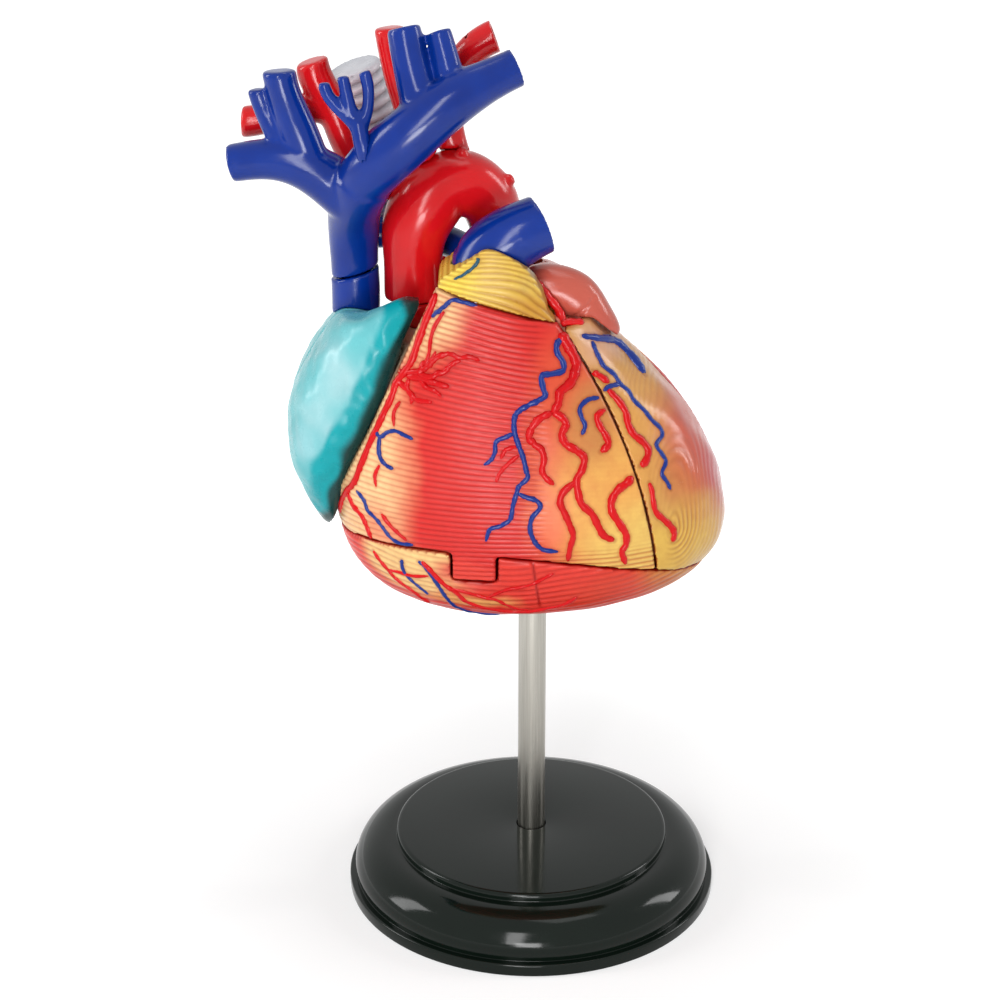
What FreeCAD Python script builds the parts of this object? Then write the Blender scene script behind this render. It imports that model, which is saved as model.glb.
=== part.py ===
"""Take-apart human heart model on a round display stand.

Millimetres, +Z up.  The origin is the centre of the stand's underside.  The heart's front faces -Y and
its left ventricle is on +X.  Each sub-part is written to parts/NODE.step.
"""
import FreeCAD, Part
import math
import os

Vec = FreeCAD.Vector
UP = Vec(0, 0, 1)
RIGHT = Vec(1, 0, 0)
BACK = Vec(0, 1, 0)

# ---------------------------------------------------------------- stand
BASE_RADIUS = 43.0
BASE_RIM_HEIGHT = 2.8
BASE_ROLL_RADIUS = 41.7        # the roll moulding at its widest
BASE_ROLL_FOOT_RADIUS = 41.3
BASE_ROLL_MIDDLE = 4.6         # height at which it is widest
BASE_ROLL_TOP = 12.0
BASE_ROLL_TOP_RADIUS = 33.2
BASE_DISC_RADIUS = 31.8
BASE_DISC_HEIGHT = 13.9
BASE_WALL = 2.2
BASE_BOSS_RADIUS = 7.0
BASE_ARC_POINTS = 10
BASE_RIB_COUNT = 4
BASE_RIB_THICKNESS = 1.4
BASE_RIB_FOOT_GAP = 1.0
BASE_RIB_END_GAP = 1.0
JOIN = 0.5                     # pieces of one moulding run this far into each other
COVER_THICKNESS = 1.6
COVER_LEDGE = 1.4
COVER_FIT = 0.15

ROD_RADIUS = 3.175
ROD_WALL = 0.9
ROD_BOTTOM = 3.2
ROD_TOP = 94.0
ROD_BASE_GAP = 0.25            # loose hole in the stand
ROD_HEART_GAP = 0.06           # snug hole in the heart
SOCKET_WALL = 2.6
SOCKET_TOP = 2.4

# ---------------------------------------------------------------- ventricle body
# Level sections: height, left, right, front and back of a rounded outline.
HEART_SECTIONS = (
    (74.6, -19.0, 11.0, -11.5, 8.0),
    (76.0, -26.0, 19.0, -17.0, 12.5),
    (78.4, -31.5, 27.0, -21.0, 16.5),
    (82.0, -36.3, 34.0, -25.0, 20.0),
    (87.4, -40.4, 39.6, -28.0, 23.0),
    (93.8, -42.8, 42.2, -30.0, 25.5),
    (101.0, -44.2, 41.6, -31.0, 26.5),
    (108.5, -45.4, 39.2, -30.8, 26.5),
    (116.0, -44.0, 35.2, -29.8, 25.5),
    (125.0, -40.6, 28.6, -28.0, 23.0),
    (133.0, -37.0, 20.8, -25.8, 19.0),
    (141.0, -32.0, 12.6, -23.2, 12.0),
    (148.0, -26.5, 5.8, -21.2, 4.5),
    (154.0, -21.0, 1.6, -20.0, -0.6),
    (158.5, -17.8, -0.2, -19.7, -2.4),
    (161.0, -16.6, -1.2, -19.2, -3.4),
)
HEART_ROUNDNESS = 2.25         # exponent of the outline: 2 is an ellipse, more is squarer
RING_POINTS = 20
FAR = 60.0                     # clear of the heart on every side
BLOCK = 300.0                  # edge of a cutting block, larger than the model
PAST = 1.0                     # a cutting tool runs this far past a face
WALL = 2.4
SEAM = 0.3                     # gap between neighbouring wall pieces
INNER_FIT = 0.35               # gap between the inner plates and the walls round them

# Straight cuts run front to back through a line seen from the front; round cuts are a centre and radius.
LOWER_CUT = (Vec(-22.0, 0, -101.6), 197.0)
FRONT_SEAM = (Vec(-81.4, 0, 77.3), 108.0)
COLLAR_FOOT = (Vec(-21.0, 0, 150.4), Vec(5.5, 0, 142.6))
COLLAR_TOP = (Vec(-10.5, 0, 158.2), Vec(0.0, 0, 154.0))
COLLAR_SHOULDER = (Vec(-17.4, 0, 153.6), Vec(-12.0, 0, 157.6))
GROOVE = (Vec(-21.0, 0, 149.0), Vec(-43.6, 0, 101.5))
SPLIT_Y = 0.0                  # front pieces end here and the back wall begins
SIDE_WALL_TOP = 141.5
BACK_WALL_TOP = 135.0

TAB_LEFT = -17.4
TAB_RIGHT = -8.2
TAB_FOOT = 88.6
TAB_TOP = 97.6                 # inside the front wall above the lower cut
TAB_BACK_Y = -8.0
TAB_GAP = 0.35
AORTA_NOTCH = Vec(-17.5, -5.0, 134.0)   # front wall is cut away left of, behind and above this

# ---------------------------------------------------------------- inner plates and valves
SEPTUM_POINT = Vec(12.5, -15.0, 133.0)
SEPTUM_NORMAL = Vec(0.364, 0.922, 0.133)
SEPTUM_THICKNESS = 4.2
VALVE_PLATE_FOOT = 132.6
VALVE_PLATE_TOP = 135.0
GROOVE_PLATE_INSIDE = 2.4      # the slanted plate runs this far inside the groove plane
ATRIUM_GAP = 1.2               # and this far outside it, up to the atrium
GROOVE_PLATE_TOP = 136.0
VALVE_BORE_REACH = 5.0         # the bores run this far to either side
STEP_SET_BACK = 4.0            # its outer face is this much smaller all round than the walls' inside
TRICUSPID_DOWN = 30.0          # distance down the groove from its top
TRICUSPID_Y = -7.0
TRICUSPID_RADIUS = 6.8
MITRAL = Vec(2.5, 7.4, VALVE_PLATE_TOP)
TRICUSPID_LEAVES = (9.0, 3, 0.62)        # length, number and how far they close in
MITRAL_RADIUS = 5.4
MITRAL_LEAVES = (8.0, 2, 0.6)
AORTIC = Vec(-17.0, 6.5, VALVE_PLATE_TOP)
AORTIC_RADIUS = 5.0
AORTIC_LEAVES = (2.4, 3, 0.8)
OUTFLOW_RADIUS = 5.2
OUTFLOW_LENGTH = 12.0
PULMONARY_LEAVES = (3.0, 3, 0.72)
VALVE_RING = 1.4
VALVE_LEAF = 0.9
LEAF_SET_IN = 0.4              # the leaves start this far inside the ring
LEAF_SLOT = 0.8
LEAF_SLOT_START = 0.8          # above the ring
LEAF_SLOT_TURN = 30.0
SLIVER = 0.1

# Papillary muscles: foot's x and z on the septum, tip, ends of the cords.
RIGHT_PAPILLARIES = (
    (-14.0, 100.0, Vec(-17.5, -9.0, 108.5), (Vec(-25.6, -5.0, 114.8), Vec(-25.4, -9.6, 115.2))),
    (-22.0, 102.0, Vec(-23.0, -5.5, 107.5), (Vec(-27.6, -3.6, 113.6), Vec(-28.0, -8.6, 113.6))),
)
RIGHT_PAD = (Vec(-23.0, -30.0, 96.0), Vec(-13.0, 20.0, 104.0))
LEFT_PAPILLARIES = (
    (-2.0, 112.0, Vec(0.5, 5.0, 120.5), (Vec(0.4, 6.0, 127.6), Vec(3.0, 5.6, 127.6))),
    (8.0, 108.0, Vec(8.0, 3.5, 119.0), (Vec(5.6, 7.6, 127.6), Vec(4.6, 6.2, 127.6))),
)
LEFT_PAD = (Vec(-4.0, -30.0, 106.0), Vec(9.0, 20.0, 113.0))
PAPILLARY_FOOT_RADIUS = 3.4
PAPILLARY_TIP_RADIUS = 1.3
PAPILLARY_ROOT = 4.0           # the cone runs this far behind the septum's face before it is cut off
CORD_RADIUS = 0.5
PAD_THICKNESS = 1.0

POST_RADIUS = 1.8
POST_END_GAP = 1.3             # clear of the slanted face the peg enters
POST_OVERLAP = 3.0
PEG_RADIUS = 1.1
PEG_GAP = 0.15
PEG_DEPTH = 3.0
PEG_ROOT = 2.0                 # length of a peg inside the piece that carries it
FRONT_WALL_POSTS = ((-14.0, 112.0), (6.0, 104.0))
SIDE_WALL_POSTS = ((25.8, 110.0), (29.6, 101.0))
SEPTUM_PEGS = (-24.0, 18.0)
LEDGE_DEPTH = 2.0              # back wall's grip on the valve plate
LEDGE_THICKNESS = 1.8
LEDGE_GAP = 0.2
LEDGE_START_Y = 7.0
LEDGE_GROOVE_GAP = 0.6

# ---------------------------------------------------------------- right atrium
# Sections down the groove: distance from its top, bulge, front and back.
ATRIUM_SECTIONS = (
    (4.6, 4.4, -17.0, -10.6),
    (8.5, 8.2, -18.6, -9.4),
    (12.5, 11.5, -19.4, -5.0),
    (17.0, 15.2, -19.6, 10.0),
    (23.0, 16.9, -19.8, 18.5),
    (31.0, 17.7, -20.2, 21.5),
    (39.0, 16.9, -20.0, 22.0),
    (46.0, 14.0, -18.6, 21.0),
    (52.0, 10.2, -16.0, 18.5),
    (56.5, 5.8, -12.0, 14.0),
    (59.4, 2.2, -7.0, 8.0),
)
ATRIUM_ROUNDNESS = 2.7
ATRIUM_WALL = 2.2
ATRIUM_ROOT = -9.0             # the outline runs on this far behind the groove plane
ATRIUM_SPLIT_Y = -3.2
ATRIUM_BOSSES = ((20.0, 13.2), (45.0, 10.8))     # distance down the groove, distance out
ATRIUM_BOSS_RADIUS = 1.9
ATRIUM_BOSS_LENGTH = 6.0
ATRIUM_PEG_RADIUS = 0.9
ATRIUM_FLANGE = 2.0
ATRIUM_FLANGE_GAP = 1.0        # round the tricuspid valve

# ---------------------------------------------------------------- left atrium
LEFT_ATRIUM_SECTIONS = (       # height, left, right, front, back
    (135.0, -10.0, 14.6, 1.5, 23.6),
    (139.0, -12.0, 13.4, 1.5, 24.6),
    (142.5, -13.0, 10.4, 2.5, 23.6),
    (145.5, -11.0, 6.6, 5.0, 20.6),
    (147.5, -6.0, 2.4, 9.0, 16.5),
)
LEFT_ATRIUM_WALL = 2.2
LEFT_ATRIUM_PEG = Vec(-4.0, 1.0, 147.2)
LEFT_ATRIUM_PEG_LENGTH = 10.0
LEFT_ATRIUM_PEG_HOLE = 12.0

AURICLE = (                    # x, y, z, radius
    (-2.5, -5.5, 147.6, 3.0),
    (0.2, -6.0, 147.4, 4.6),
    (4.2, -6.4, 146.8, 5.2),
    (8.4, -6.7, 144.6, 5.5),
    (11.4, -6.8, 141.4, 5.1),
    (14.0, -6.6, 138.2, 4.3),
    (16.0, -6.4, 135.6, 2.9),
)
AURICLE_FOOT = 141.8
AURICLE_PEG = Vec(1.0, -8.0, 147.4)
AURICLE_PEG_LENGTH = 7.0
AURICLE_PEG_HOLE = 9.0
PATH_STEPS = 4
WALL_PATH = 8.0                # the side wall passes under the auricle over this length
COLLAR_PATH = 6.0              # and the auricle leaves the collar over this one

# ---------------------------------------------------------------- vessels: x, y, z, radius
TRUNK_AXIS = Vec(0.123, -0.123, 0.985)
TRUNK_SEAT = Vec(-9.6, -9.6, 151.6)
TRUNK_BASE_RADIUS = 7.9
TRUNK_FOOT = 3.4               # length of its straight foot
TRUNK_FIT = 0.15
TRUNK_BORE = 6.0               # depth of the bore over the pulmonary valve
TRUNK_PATH = 6.0               # the trunk leaves the collar over this length
TRUNK = (
    (-9.3, -9.9, 154.0, 7.6),
    (-6.9, -10.8, 157.3, 7.1),
    (-2.9, -10.8, 159.8, 6.6),
    (1.3, -10.0, 161.6, 6.2),
)
RIGHT_PULMONARY = (
    (-9.0, -1.0, 150.4, 3.2),
    (-13.5, 6.5, 150.9, 3.3),
    (-19.5, 12.0, 152.3, 3.4),
    (-28.0, 14.3, 153.3, 3.4),
    (-36.0, 14.0, 153.5, 3.5),
    (-42.5, 13.5, 153.0, 3.6),
)
AORTIC_ROOT = (
    (-17.0, 6.5, 134.0, 6.0),
    (-18.5, 6.0, 137.0, 6.2),
    (-23.0, 4.2, 139.8, 6.3),
    (-26.1, 3.0, 142.4, 6.3),
)
AORTA_SEAT = 142.0
AORTA_SPIGOT_RADIUS = 4.4
AORTA_SPIGOT_LENGTH = 2.4
AORTA_SPIGOT_END_GAP = 0.2
AORTA_SPIGOT_WALL = 1.4
AORTA_SPIGOT_ROOT = 2.0
AORTA_BORE = 10.0
AORTIC_ROOT_WALL = 1.6
AORTA_CLEARANCE = 0.4          # neighbours stay this far from the aorta
AORTIC_ROOT_CLEARANCE = 0.02
AORTA = (
    (-26.1, 3.0, 140.0, 6.2),
    (-26.1, 3.0, 148.4, 6.3),
    (-25.8, 3.0, 155.0, 6.8),
    (-23.5, 3.6, 161.6, 7.7),
    (-19.2, 4.9, 165.8, 7.5),
    (-14.4, 5.6, 166.2, 7.0),
    (-10.8, 7.0, 163.4, 6.5),
    (-9.0, 10.2, 159.0, 6.1),
    (-8.4, 13.2, 155.0, 5.8),
)
AORTA_STUBS = (
    ((-9.0, 6.6, 165.0, 1.6), (-4.6, 5.4, 167.6, 1.2)),
    ((-15.8, 5.0, 170.0, 1.6), (-15.2, 3.0, 174.6, 1.2)),
)
BRACHIOCEPHALIC = (
    (-26.5, 5.6, 164.0, 3.8),
    (-32.0, 6.6, 167.0, 3.7),
    (-37.5, 6.8, 171.2, 3.6),
    (-40.7, 6.6, 177.6, 3.6),
    (-44.0, 6.0, 185.1, 3.6),
    (-46.5, 5.5, 192.5, 3.6),
)
RIGHT_SUBCLAVIAN = (
    (-42.4, 6.3, 181.0, 2.8),
    (-49.4, 6.0, 182.0, 3.2),
    (-55.7, 6.0, 180.5, 3.3),
    (-61.7, 6.0, 179.6, 3.4),
)
LEFT_CAROTID = (
    (-21.5, 4.8, 167.0, 3.2),
    (-24.2, 4.4, 175.0, 3.2),
    (-27.2, 4.5, 185.4, 3.3),
    (-29.0, 4.5, 192.7, 3.3),
    (-30.1, 4.5, 199.5, 3.3),
)
LEFT_SUBCLAVIAN = (
    (-15.8, 7.6, 167.0, 3.2),
    (-18.0, 8.2, 177.0, 3.2),
    (-17.8, 7.8, 187.0, 3.2),
    (-13.8, 7.2, 193.6, 3.3),
    (-8.4, 7.0, 197.2, 3.4),
)
CUFF = ((-38.4, 3.0, 134.0, 5.2), (-38.5, 2.8, 154.0, 5.3))
CUFF_SEAM = (Vec(-43.8, 0, 146.6), Vec(-32.6, 0, 149.6))
CUFF_BORE_RADIUS = 3.8
VEIN_SPIGOT = (3.3, 2.2, 2.4)  # radius at the seam, radius at the tip, length
VEIN_SPIGOT_ROOT = 3.0
VEIN_TRUNK = (
    (-38.5, 2.8, 145.0, 5.3),
    (-38.5, 1.8, 155.0, 5.3),
    (-38.1, -1.5, 161.8, 5.6),
    (-36.8, -5.5, 167.0, 5.9),
    (-35.4, -8.0, 170.4, 6.0),
)
RIGHT_BRACHIOCEPHALIC_VEIN = (
    (-37.6, -3.6, 164.4, 5.4),
    (-41.0, -4.6, 168.2, 5.6),
    (-45.6, -5.0, 171.5, 5.2),
    (-50.8, -5.0, 173.4, 4.6),
    (-56.6, -4.5, 173.7, 4.2),
    (-63.4, -4.0, 172.8, 4.0),
)
LEFT_BRACHIOCEPHALIC_VEIN = (
    (-36.6, -6.4, 168.0, 5.4),
    (-33.4, -9.4, 173.0, 6.0),
    (-28.1, -12.0, 178.5, 6.0),
    (-21.5, -12.5, 184.1, 5.6),
    (-15.0, -11.5, 188.6, 5.0),
    (-9.4, -10.0, 191.3, 4.3),
    (-4.0, -8.5, 193.5, 4.0),
)
RIGHT_JUGULAR_VEIN = (
    (-46.2, -5.0, 171.5, 4.0),
    (-48.9, -5.0, 180.1, 3.9),
    (-51.1, -5.0, 186.3, 3.6),
    (-52.3, -5.0, 192.3, 3.5),
)
RIGHT_SIDE_VEIN = (
    (-51.4, -4.8, 173.6, 2.4),
    (-54.3, -4.2, 180.9, 2.3),
    (-56.2, -4.0, 185.0, 2.2),
    (-57.0, -4.0, 188.4, 2.2),
)
LEFT_JUGULAR_VEIN = (
    (-22.2, -12.3, 183.4, 4.4),
    (-23.9, -10.5, 188.4, 4.0),
    (-25.5, -8.5, 195.1, 3.7),
    (-26.8, -7.0, 201.4, 3.5),
)
LEFT_SIDE_VEIN = (
    (-16.2, -11.8, 187.6, 3.2),
    (-17.6, -9.5, 192.2, 3.0),
    (-18.8, -8.0, 197.0, 2.8),
    (-19.8, -7.0, 200.6, 2.7),
)
THYMIC_TRUNK = (
    (-33.6, -12.6, 173.4, 2.2),
    (-34.9, -14.4, 178.5, 1.9),
    (-36.0, -13.4, 183.4, 1.8),
)
RIGHT_PRONG = (
    (-35.9, -13.5, 181.6, 1.4),
    (-38.6, -13.0, 184.8, 1.3),
    (-41.2, -12.5, 187.6, 1.3),
    (-42.8, -12.0, 191.2, 1.3),
)
MIDDLE_PRONG = (
    (-36.0, -13.5, 181.8, 1.5),
    (-37.8, -12.6, 187.4, 1.35),
    (-38.9, -12.0, 192.5, 1.3),
)
LEFT_PRONG = (
    (-35.9, -13.5, 181.6, 1.5),
    (-33.9, -12.6, 186.8, 1.35),
    (-34.6, -12.0, 193.4, 1.3),
)
TRACHEA = (
    (-28.0, 19.7, 162.2, 5.6),
    (-29.5, 19.5, 166.5, 5.8),
    (-32.1, 19.0, 172.8, 5.8),
    (-34.4, 18.0, 177.8, 5.8),
    (-36.8, 17.0, 183.6, 5.8),
    (-38.8, 16.2, 189.0, 5.8),
)
RIGHT_BRONCHUS = (
    (-28.6, 20.2, 165.0, 4.2),
    (-31.5, 21.2, 161.0, 4.1),
    (-35.0, 22.0, 157.4, 3.8),
    (-38.5, 22.6, 154.0, 3.6),
)
LEFT_BRONCHUS = (
    (-28.2, 20.2, 165.0, 4.2),
    (-25.2, 21.2, 161.0, 4.0),
    (-22.0, 22.0, 157.6, 3.7),
    (-18.8, 22.6, 154.6, 3.4),
)
TRACHEA_SEAT = Vec(-28.0, 14.3, 160.6)
TRACHEA_SEAT_RADIUS = 2.1
TRACHEA_SEAT_LENGTH = 5.0
TRACHEA_PEG_RADIUS = 1.1
TRACHEA_PEG_LENGTH = 3.4
LOWER_CAVA = (
    (-45.0, 9.0, 109.0, 4.4),
    (-42.4, 15.5, 100.5, 4.4),
    (-38.6, 21.0, 92.5, 4.3),
    (-37.2, 22.8, 85.5, 4.2),
)
PULMONARY_VEINS = {
    "left_upper": ((3.5, 17.0, 139.4, 2.4), (5.5, 21.5, 138.6, 2.3), (7.0, 26.5, 137.7, 2.2)),
    "left_lower": ((-3.0, 18.0, 139.0, 2.4), (-2.8, 23.0, 138.4, 2.3), (-2.4, 28.0, 137.8, 2.2)),
    "right_upper": ((-8.0, 17.0, 142.6, 2.6), (-14.0, 20.5, 144.2, 2.5), (-20.0, 24.0, 144.6, 2.5)),
    "right_lower": ((-9.0, 19.0, 138.8, 2.3), (-12.5, 23.5, 138.3, 2.2), (-17.5, 28.0, 137.7, 2.2)),
}
BORE_WALL = 1.0
BORE_DEPTH = 6.0
TUBE_POINTS = 12


# ---------------------------------------------------------------- shape helpers
def unit(v):
    """The vector at length 1."""
    return Vec(v).normalize()


def cut_plane(line):
    """Point and normal of the plane through a line seen from the front, facing left of its direction."""
    start, end = line
    along = unit(end - start)
    return start, Vec(-along.z, 0, along.x)


def half_space(point, normal):
    """A large block on the normal's side of a plane."""
    box = Part.makeBox(BLOCK, BLOCK, BLOCK, Vec(-BLOCK / 2, -BLOCK / 2, 0))
    box.Placement = FreeCAD.Placement(point, FreeCAD.Rotation(UP, normal))
    return box


def over(shape, line, gap=0.0):
    """What lies above a front-view line (right of a falling one), starting gap away from it."""
    point, normal = cut_plane(line)
    return shape.common(half_space(point + normal * gap, normal))


def under(shape, line, gap=0.0):
    """What lies below a front-view line (left of a falling one), ending gap away from it."""
    point, normal = cut_plane(line)
    return shape.common(half_space(point - normal * gap, normal * -1))


def arc_roller(arc, gap):
    """Long cylinder whose edge, seen from the front, is a round cut."""
    centre, radius = arc
    return rod(centre - BACK * (BLOCK / 2), centre + BACK * (BLOCK / 2), radius + gap)


def inside_arc(shape, arc, gap=0.0):
    """What lies on the hollow side of a round cut, ending gap before it."""
    return shape.common(arc_roller(arc, -gap))


def outside_arc(shape, arc, gap=0.0):
    """What lies on the other side of a round cut, starting gap beyond it."""
    return shape.cut(arc_roller(arc, gap))


def beyond(shape, point, normal):
    """What lies on the normal's side of the plane through the point."""
    return shape.common(half_space(point, normal))


def in_front(shape, y):
    return beyond(shape, Vec(0, y, 0), BACK * -1)


def behind(shape, y):
    return beyond(shape, Vec(0, y, 0), BACK)


def above(shape, z):
    return beyond(shape, Vec(0, 0, z), UP)


def below(shape, z):
    return beyond(shape, Vec(0, 0, z), UP * -1)


def box_between(low, high):
    size = high - low
    return Part.makeBox(size.x, size.y, size.z, low)


def largest(shape):
    """The biggest solid of a cut."""
    return max(shape.Solids, key=lambda solid: solid.Volume)


def clear_path(shape, obstacle, way, reach):
    """Trim a shape so that the obstacle passes it while moving along way for reach."""
    for i in range(PATH_STEPS + 1):
        moved = obstacle.copy()
        moved.translate(way * (reach * i / PATH_STEPS))
        shape = shape.cut(moved)
    return shape


def rod(start, end, radius):
    """Straight round bar between two points."""
    return Part.makeCylinder(radius, (end - start).Length, start, end - start)


def smooth_wire(points):
    """Closed smooth wire through the points."""
    curve = Part.BSplineCurve()
    curve.interpolate(points, PeriodicFlag=True)
    return Part.Wire(curve.toShape())


def superellipse(centre, across, along, power=2.0, count=RING_POINTS):
    """Points round an outline whose half-axes are the vectors across and along."""
    points = []
    for i in range(count):
        c, s = math.cos(2 * math.pi * i / count), math.sin(2 * math.pi * i / count)
        u = math.copysign(abs(c) ** (2 / power), c)
        v = math.copysign(abs(s) ** (2 / power), s)
        points.append(centre + across * u + along * v)
    return points


def level_loft(sections, inset, power):
    """Rounded body through level sections (height, left, right, front, back), pulled in by inset."""
    lowest, highest = sections[0][0] + inset, sections[-1][0] + inset
    rings = []
    for z, left, right, front, back in sections:
        z = min(max(z, lowest), highest) if z != sections[-1][0] else highest
        half_x, half_y = (right - left) / 2 - inset, (back - front) / 2 - inset
        centre = Vec((left + right) / 2, (front + back) / 2, z)
        rings.append(smooth_wire(superellipse(centre, RIGHT * half_x, BACK * half_y, power)))
    return Part.makeLoft(rings, True, False)


def heart(inset):
    return level_loft(HEART_SECTIONS, inset, HEART_ROUNDNESS)


def centre_line(stations):
    """Centres, unit tangents and radii along a bent tube."""
    centres = [Vec(*s[:3]) for s in stations]
    path = Part.BSplineCurve()
    path.interpolate(centres)
    tangents = [unit(path.tangent(path.parameter(c))[0]) for c in centres]
    return centres, tangents, [s[3] for s in stations]


def tube(stations, grow=0.0):
    """Solid smooth tube through (x, y, z, radius) stations."""
    centres, tangents, radii = centre_line(stations)
    side = tangents[0].cross(BACK if abs(tangents[0].y) < 0.9 else RIGHT)
    rings = []
    for centre, tangent, radius in zip(centres, tangents, radii):
        side = unit(side - tangent * side.dot(tangent))
        across = tangent.cross(side)
        ring = superellipse(centre, side * (radius + grow), across * (radius + grow), 2, TUBE_POINTS)
        rings.append(smooth_wire(ring))
    return Part.makeLoft(rings, True, False)


def tip_bore(stations):
    """The hole in the open end of a vessel."""
    centres, tangents, radii = centre_line(stations)
    end, outward, radius = centres[-1], tangents[-1], radii[-1] - BORE_WALL
    return rod(end - outward * BORE_DEPTH, end + outward * PAST, radius)


def vessels(branches, open_tips=()):
    """Branches joined in one solid; those in open_tips end in a short bore, the others are closed."""
    solid = tube(branches[0])
    for branch in branches[1:]:
        solid = solid.fuse(tube(branch))
    for branch in open_tips:
        solid = solid.cut(tip_bore(branch))
    return solid


def groove_point(down, out, y=0.0):
    """A point given by its distance down the groove and out from it."""
    start, inward = cut_plane(GROOVE)
    along = unit(GROOVE[1] - GROOVE[0])
    return start + along * down - inward * out + BACK * y


def atrium(inset):
    """The right atrium's rounded body, running on behind the groove plane."""
    along = unit(GROOVE[1] - GROOVE[0])
    inward = cut_plane(GROOVE)[1]
    rings = []
    for down, bulge, front, back in ATRIUM_SECTIONS:
        if down == ATRIUM_SECTIONS[0][0]:
            down += inset
        elif down == ATRIUM_SECTIONS[-1][0]:
            down -= inset
        centre = groove_point(down, (bulge + ATRIUM_ROOT) / 2, (front + back) / 2)
        across = inward * ((bulge - ATRIUM_ROOT) / 2 - inset)
        depth = BACK * ((back - front) / 2 - inset)
        rings.append(smooth_wire(superellipse(centre, across, depth, ATRIUM_ROUNDNESS)))
    return Part.makeLoft(rings, True, False)


def septum_slab(grow=0.0):
    """Slanted slab between the ventricles."""
    normal = unit(SEPTUM_NORMAL)
    half = SEPTUM_THICKNESS / 2 + grow
    return beyond(half_space(SEPTUM_POINT - normal * half, normal), SEPTUM_POINT + normal * half, normal * -1)


def behind_septum(shape, gap=0.0):
    normal = unit(SEPTUM_NORMAL)
    return beyond(shape, SEPTUM_POINT + normal * (SEPTUM_THICKNESS / 2 + gap), normal)


def septum_y(x, z, offset):
    """Where a slab face offset from its middle crosses a line along Y."""
    n = unit(SEPTUM_NORMAL)
    return SEPTUM_POINT.y + (offset - n.x * (x - SEPTUM_POINT.x) - n.z * (z - SEPTUM_POINT.z)) / n.y


def posts(spots, wall_outer):
    """Locating posts running back from a front wall to pegs in the septum."""
    shapes = []
    for x, z in spots:
        face = septum_y(x, z, -SEPTUM_THICKNESS / 2)
        peg = rod(Vec(x, face - POST_OVERLAP, z), Vec(x, face + PEG_DEPTH, z), PEG_RADIUS)
        post = rod(Vec(x, -FAR, z), Vec(x, face - POST_END_GAP, z), POST_RADIUS)
        shapes.append(post.common(wall_outer).fuse(peg))
    return shapes


def leaf_valve(centre, flow, radius, leaves):
    """Ring with a funnel of leaves pointing along the flow."""
    height, count, taper = leaves
    flow = unit(flow)
    ring = rod(centre, centre + flow * VALVE_RING, radius)
    wide, narrow = radius - LEAF_SET_IN, radius * taper
    funnel = Part.makeCone(wide, narrow, height, centre, flow)
    start = centre - flow * SLIVER
    hollow = Part.makeCone(wide - VALVE_LEAF, narrow - VALVE_LEAF, height + 2 * SLIVER, start, flow)
    valve = ring.fuse(funnel).cut(hollow)
    side = unit(flow.cross(BACK if abs(flow.y) < 0.9 else RIGHT))
    for i in range(count):
        corner = Vec(0, -LEAF_SLOT / 2, VALVE_RING + LEAF_SLOT_START)
        slot = Part.makeBox(radius + PAST, LEAF_SLOT, height, corner)
        turn = FreeCAD.Rotation(side, flow.cross(side), flow, "ZXY")
        spin = FreeCAD.Rotation(UP, 360 * i / count + LEAF_SLOT_TURN)
        slot.Placement = FreeCAD.Placement(centre, turn.multiply(spin))
        valve = valve.cut(slot)
    return valve


# ---------------------------------------------------------------- stand pieces
def roll_arc(shrink):
    """End points and edge of the roll moulding's curve, or of the same curve shrink inside it."""
    half_width = BASE_ROLL_RADIUS - BASE_ROLL_TOP_RADIUS - shrink
    half_height = BASE_ROLL_TOP - BASE_ROLL_MIDDLE - shrink
    points = []
    for i in range(BASE_ARC_POINTS):
        angle = math.pi / 2 * i / (BASE_ARC_POINTS - 1)
        radius = BASE_ROLL_TOP_RADIUS + half_width * math.sin(angle)
        points.append(Vec(radius, 0, BASE_ROLL_MIDDLE + half_height * math.cos(angle)))
    curve = Part.BSplineCurve()
    curve.interpolate(points)
    return points[0], points[-1], curve.toShape()


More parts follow.
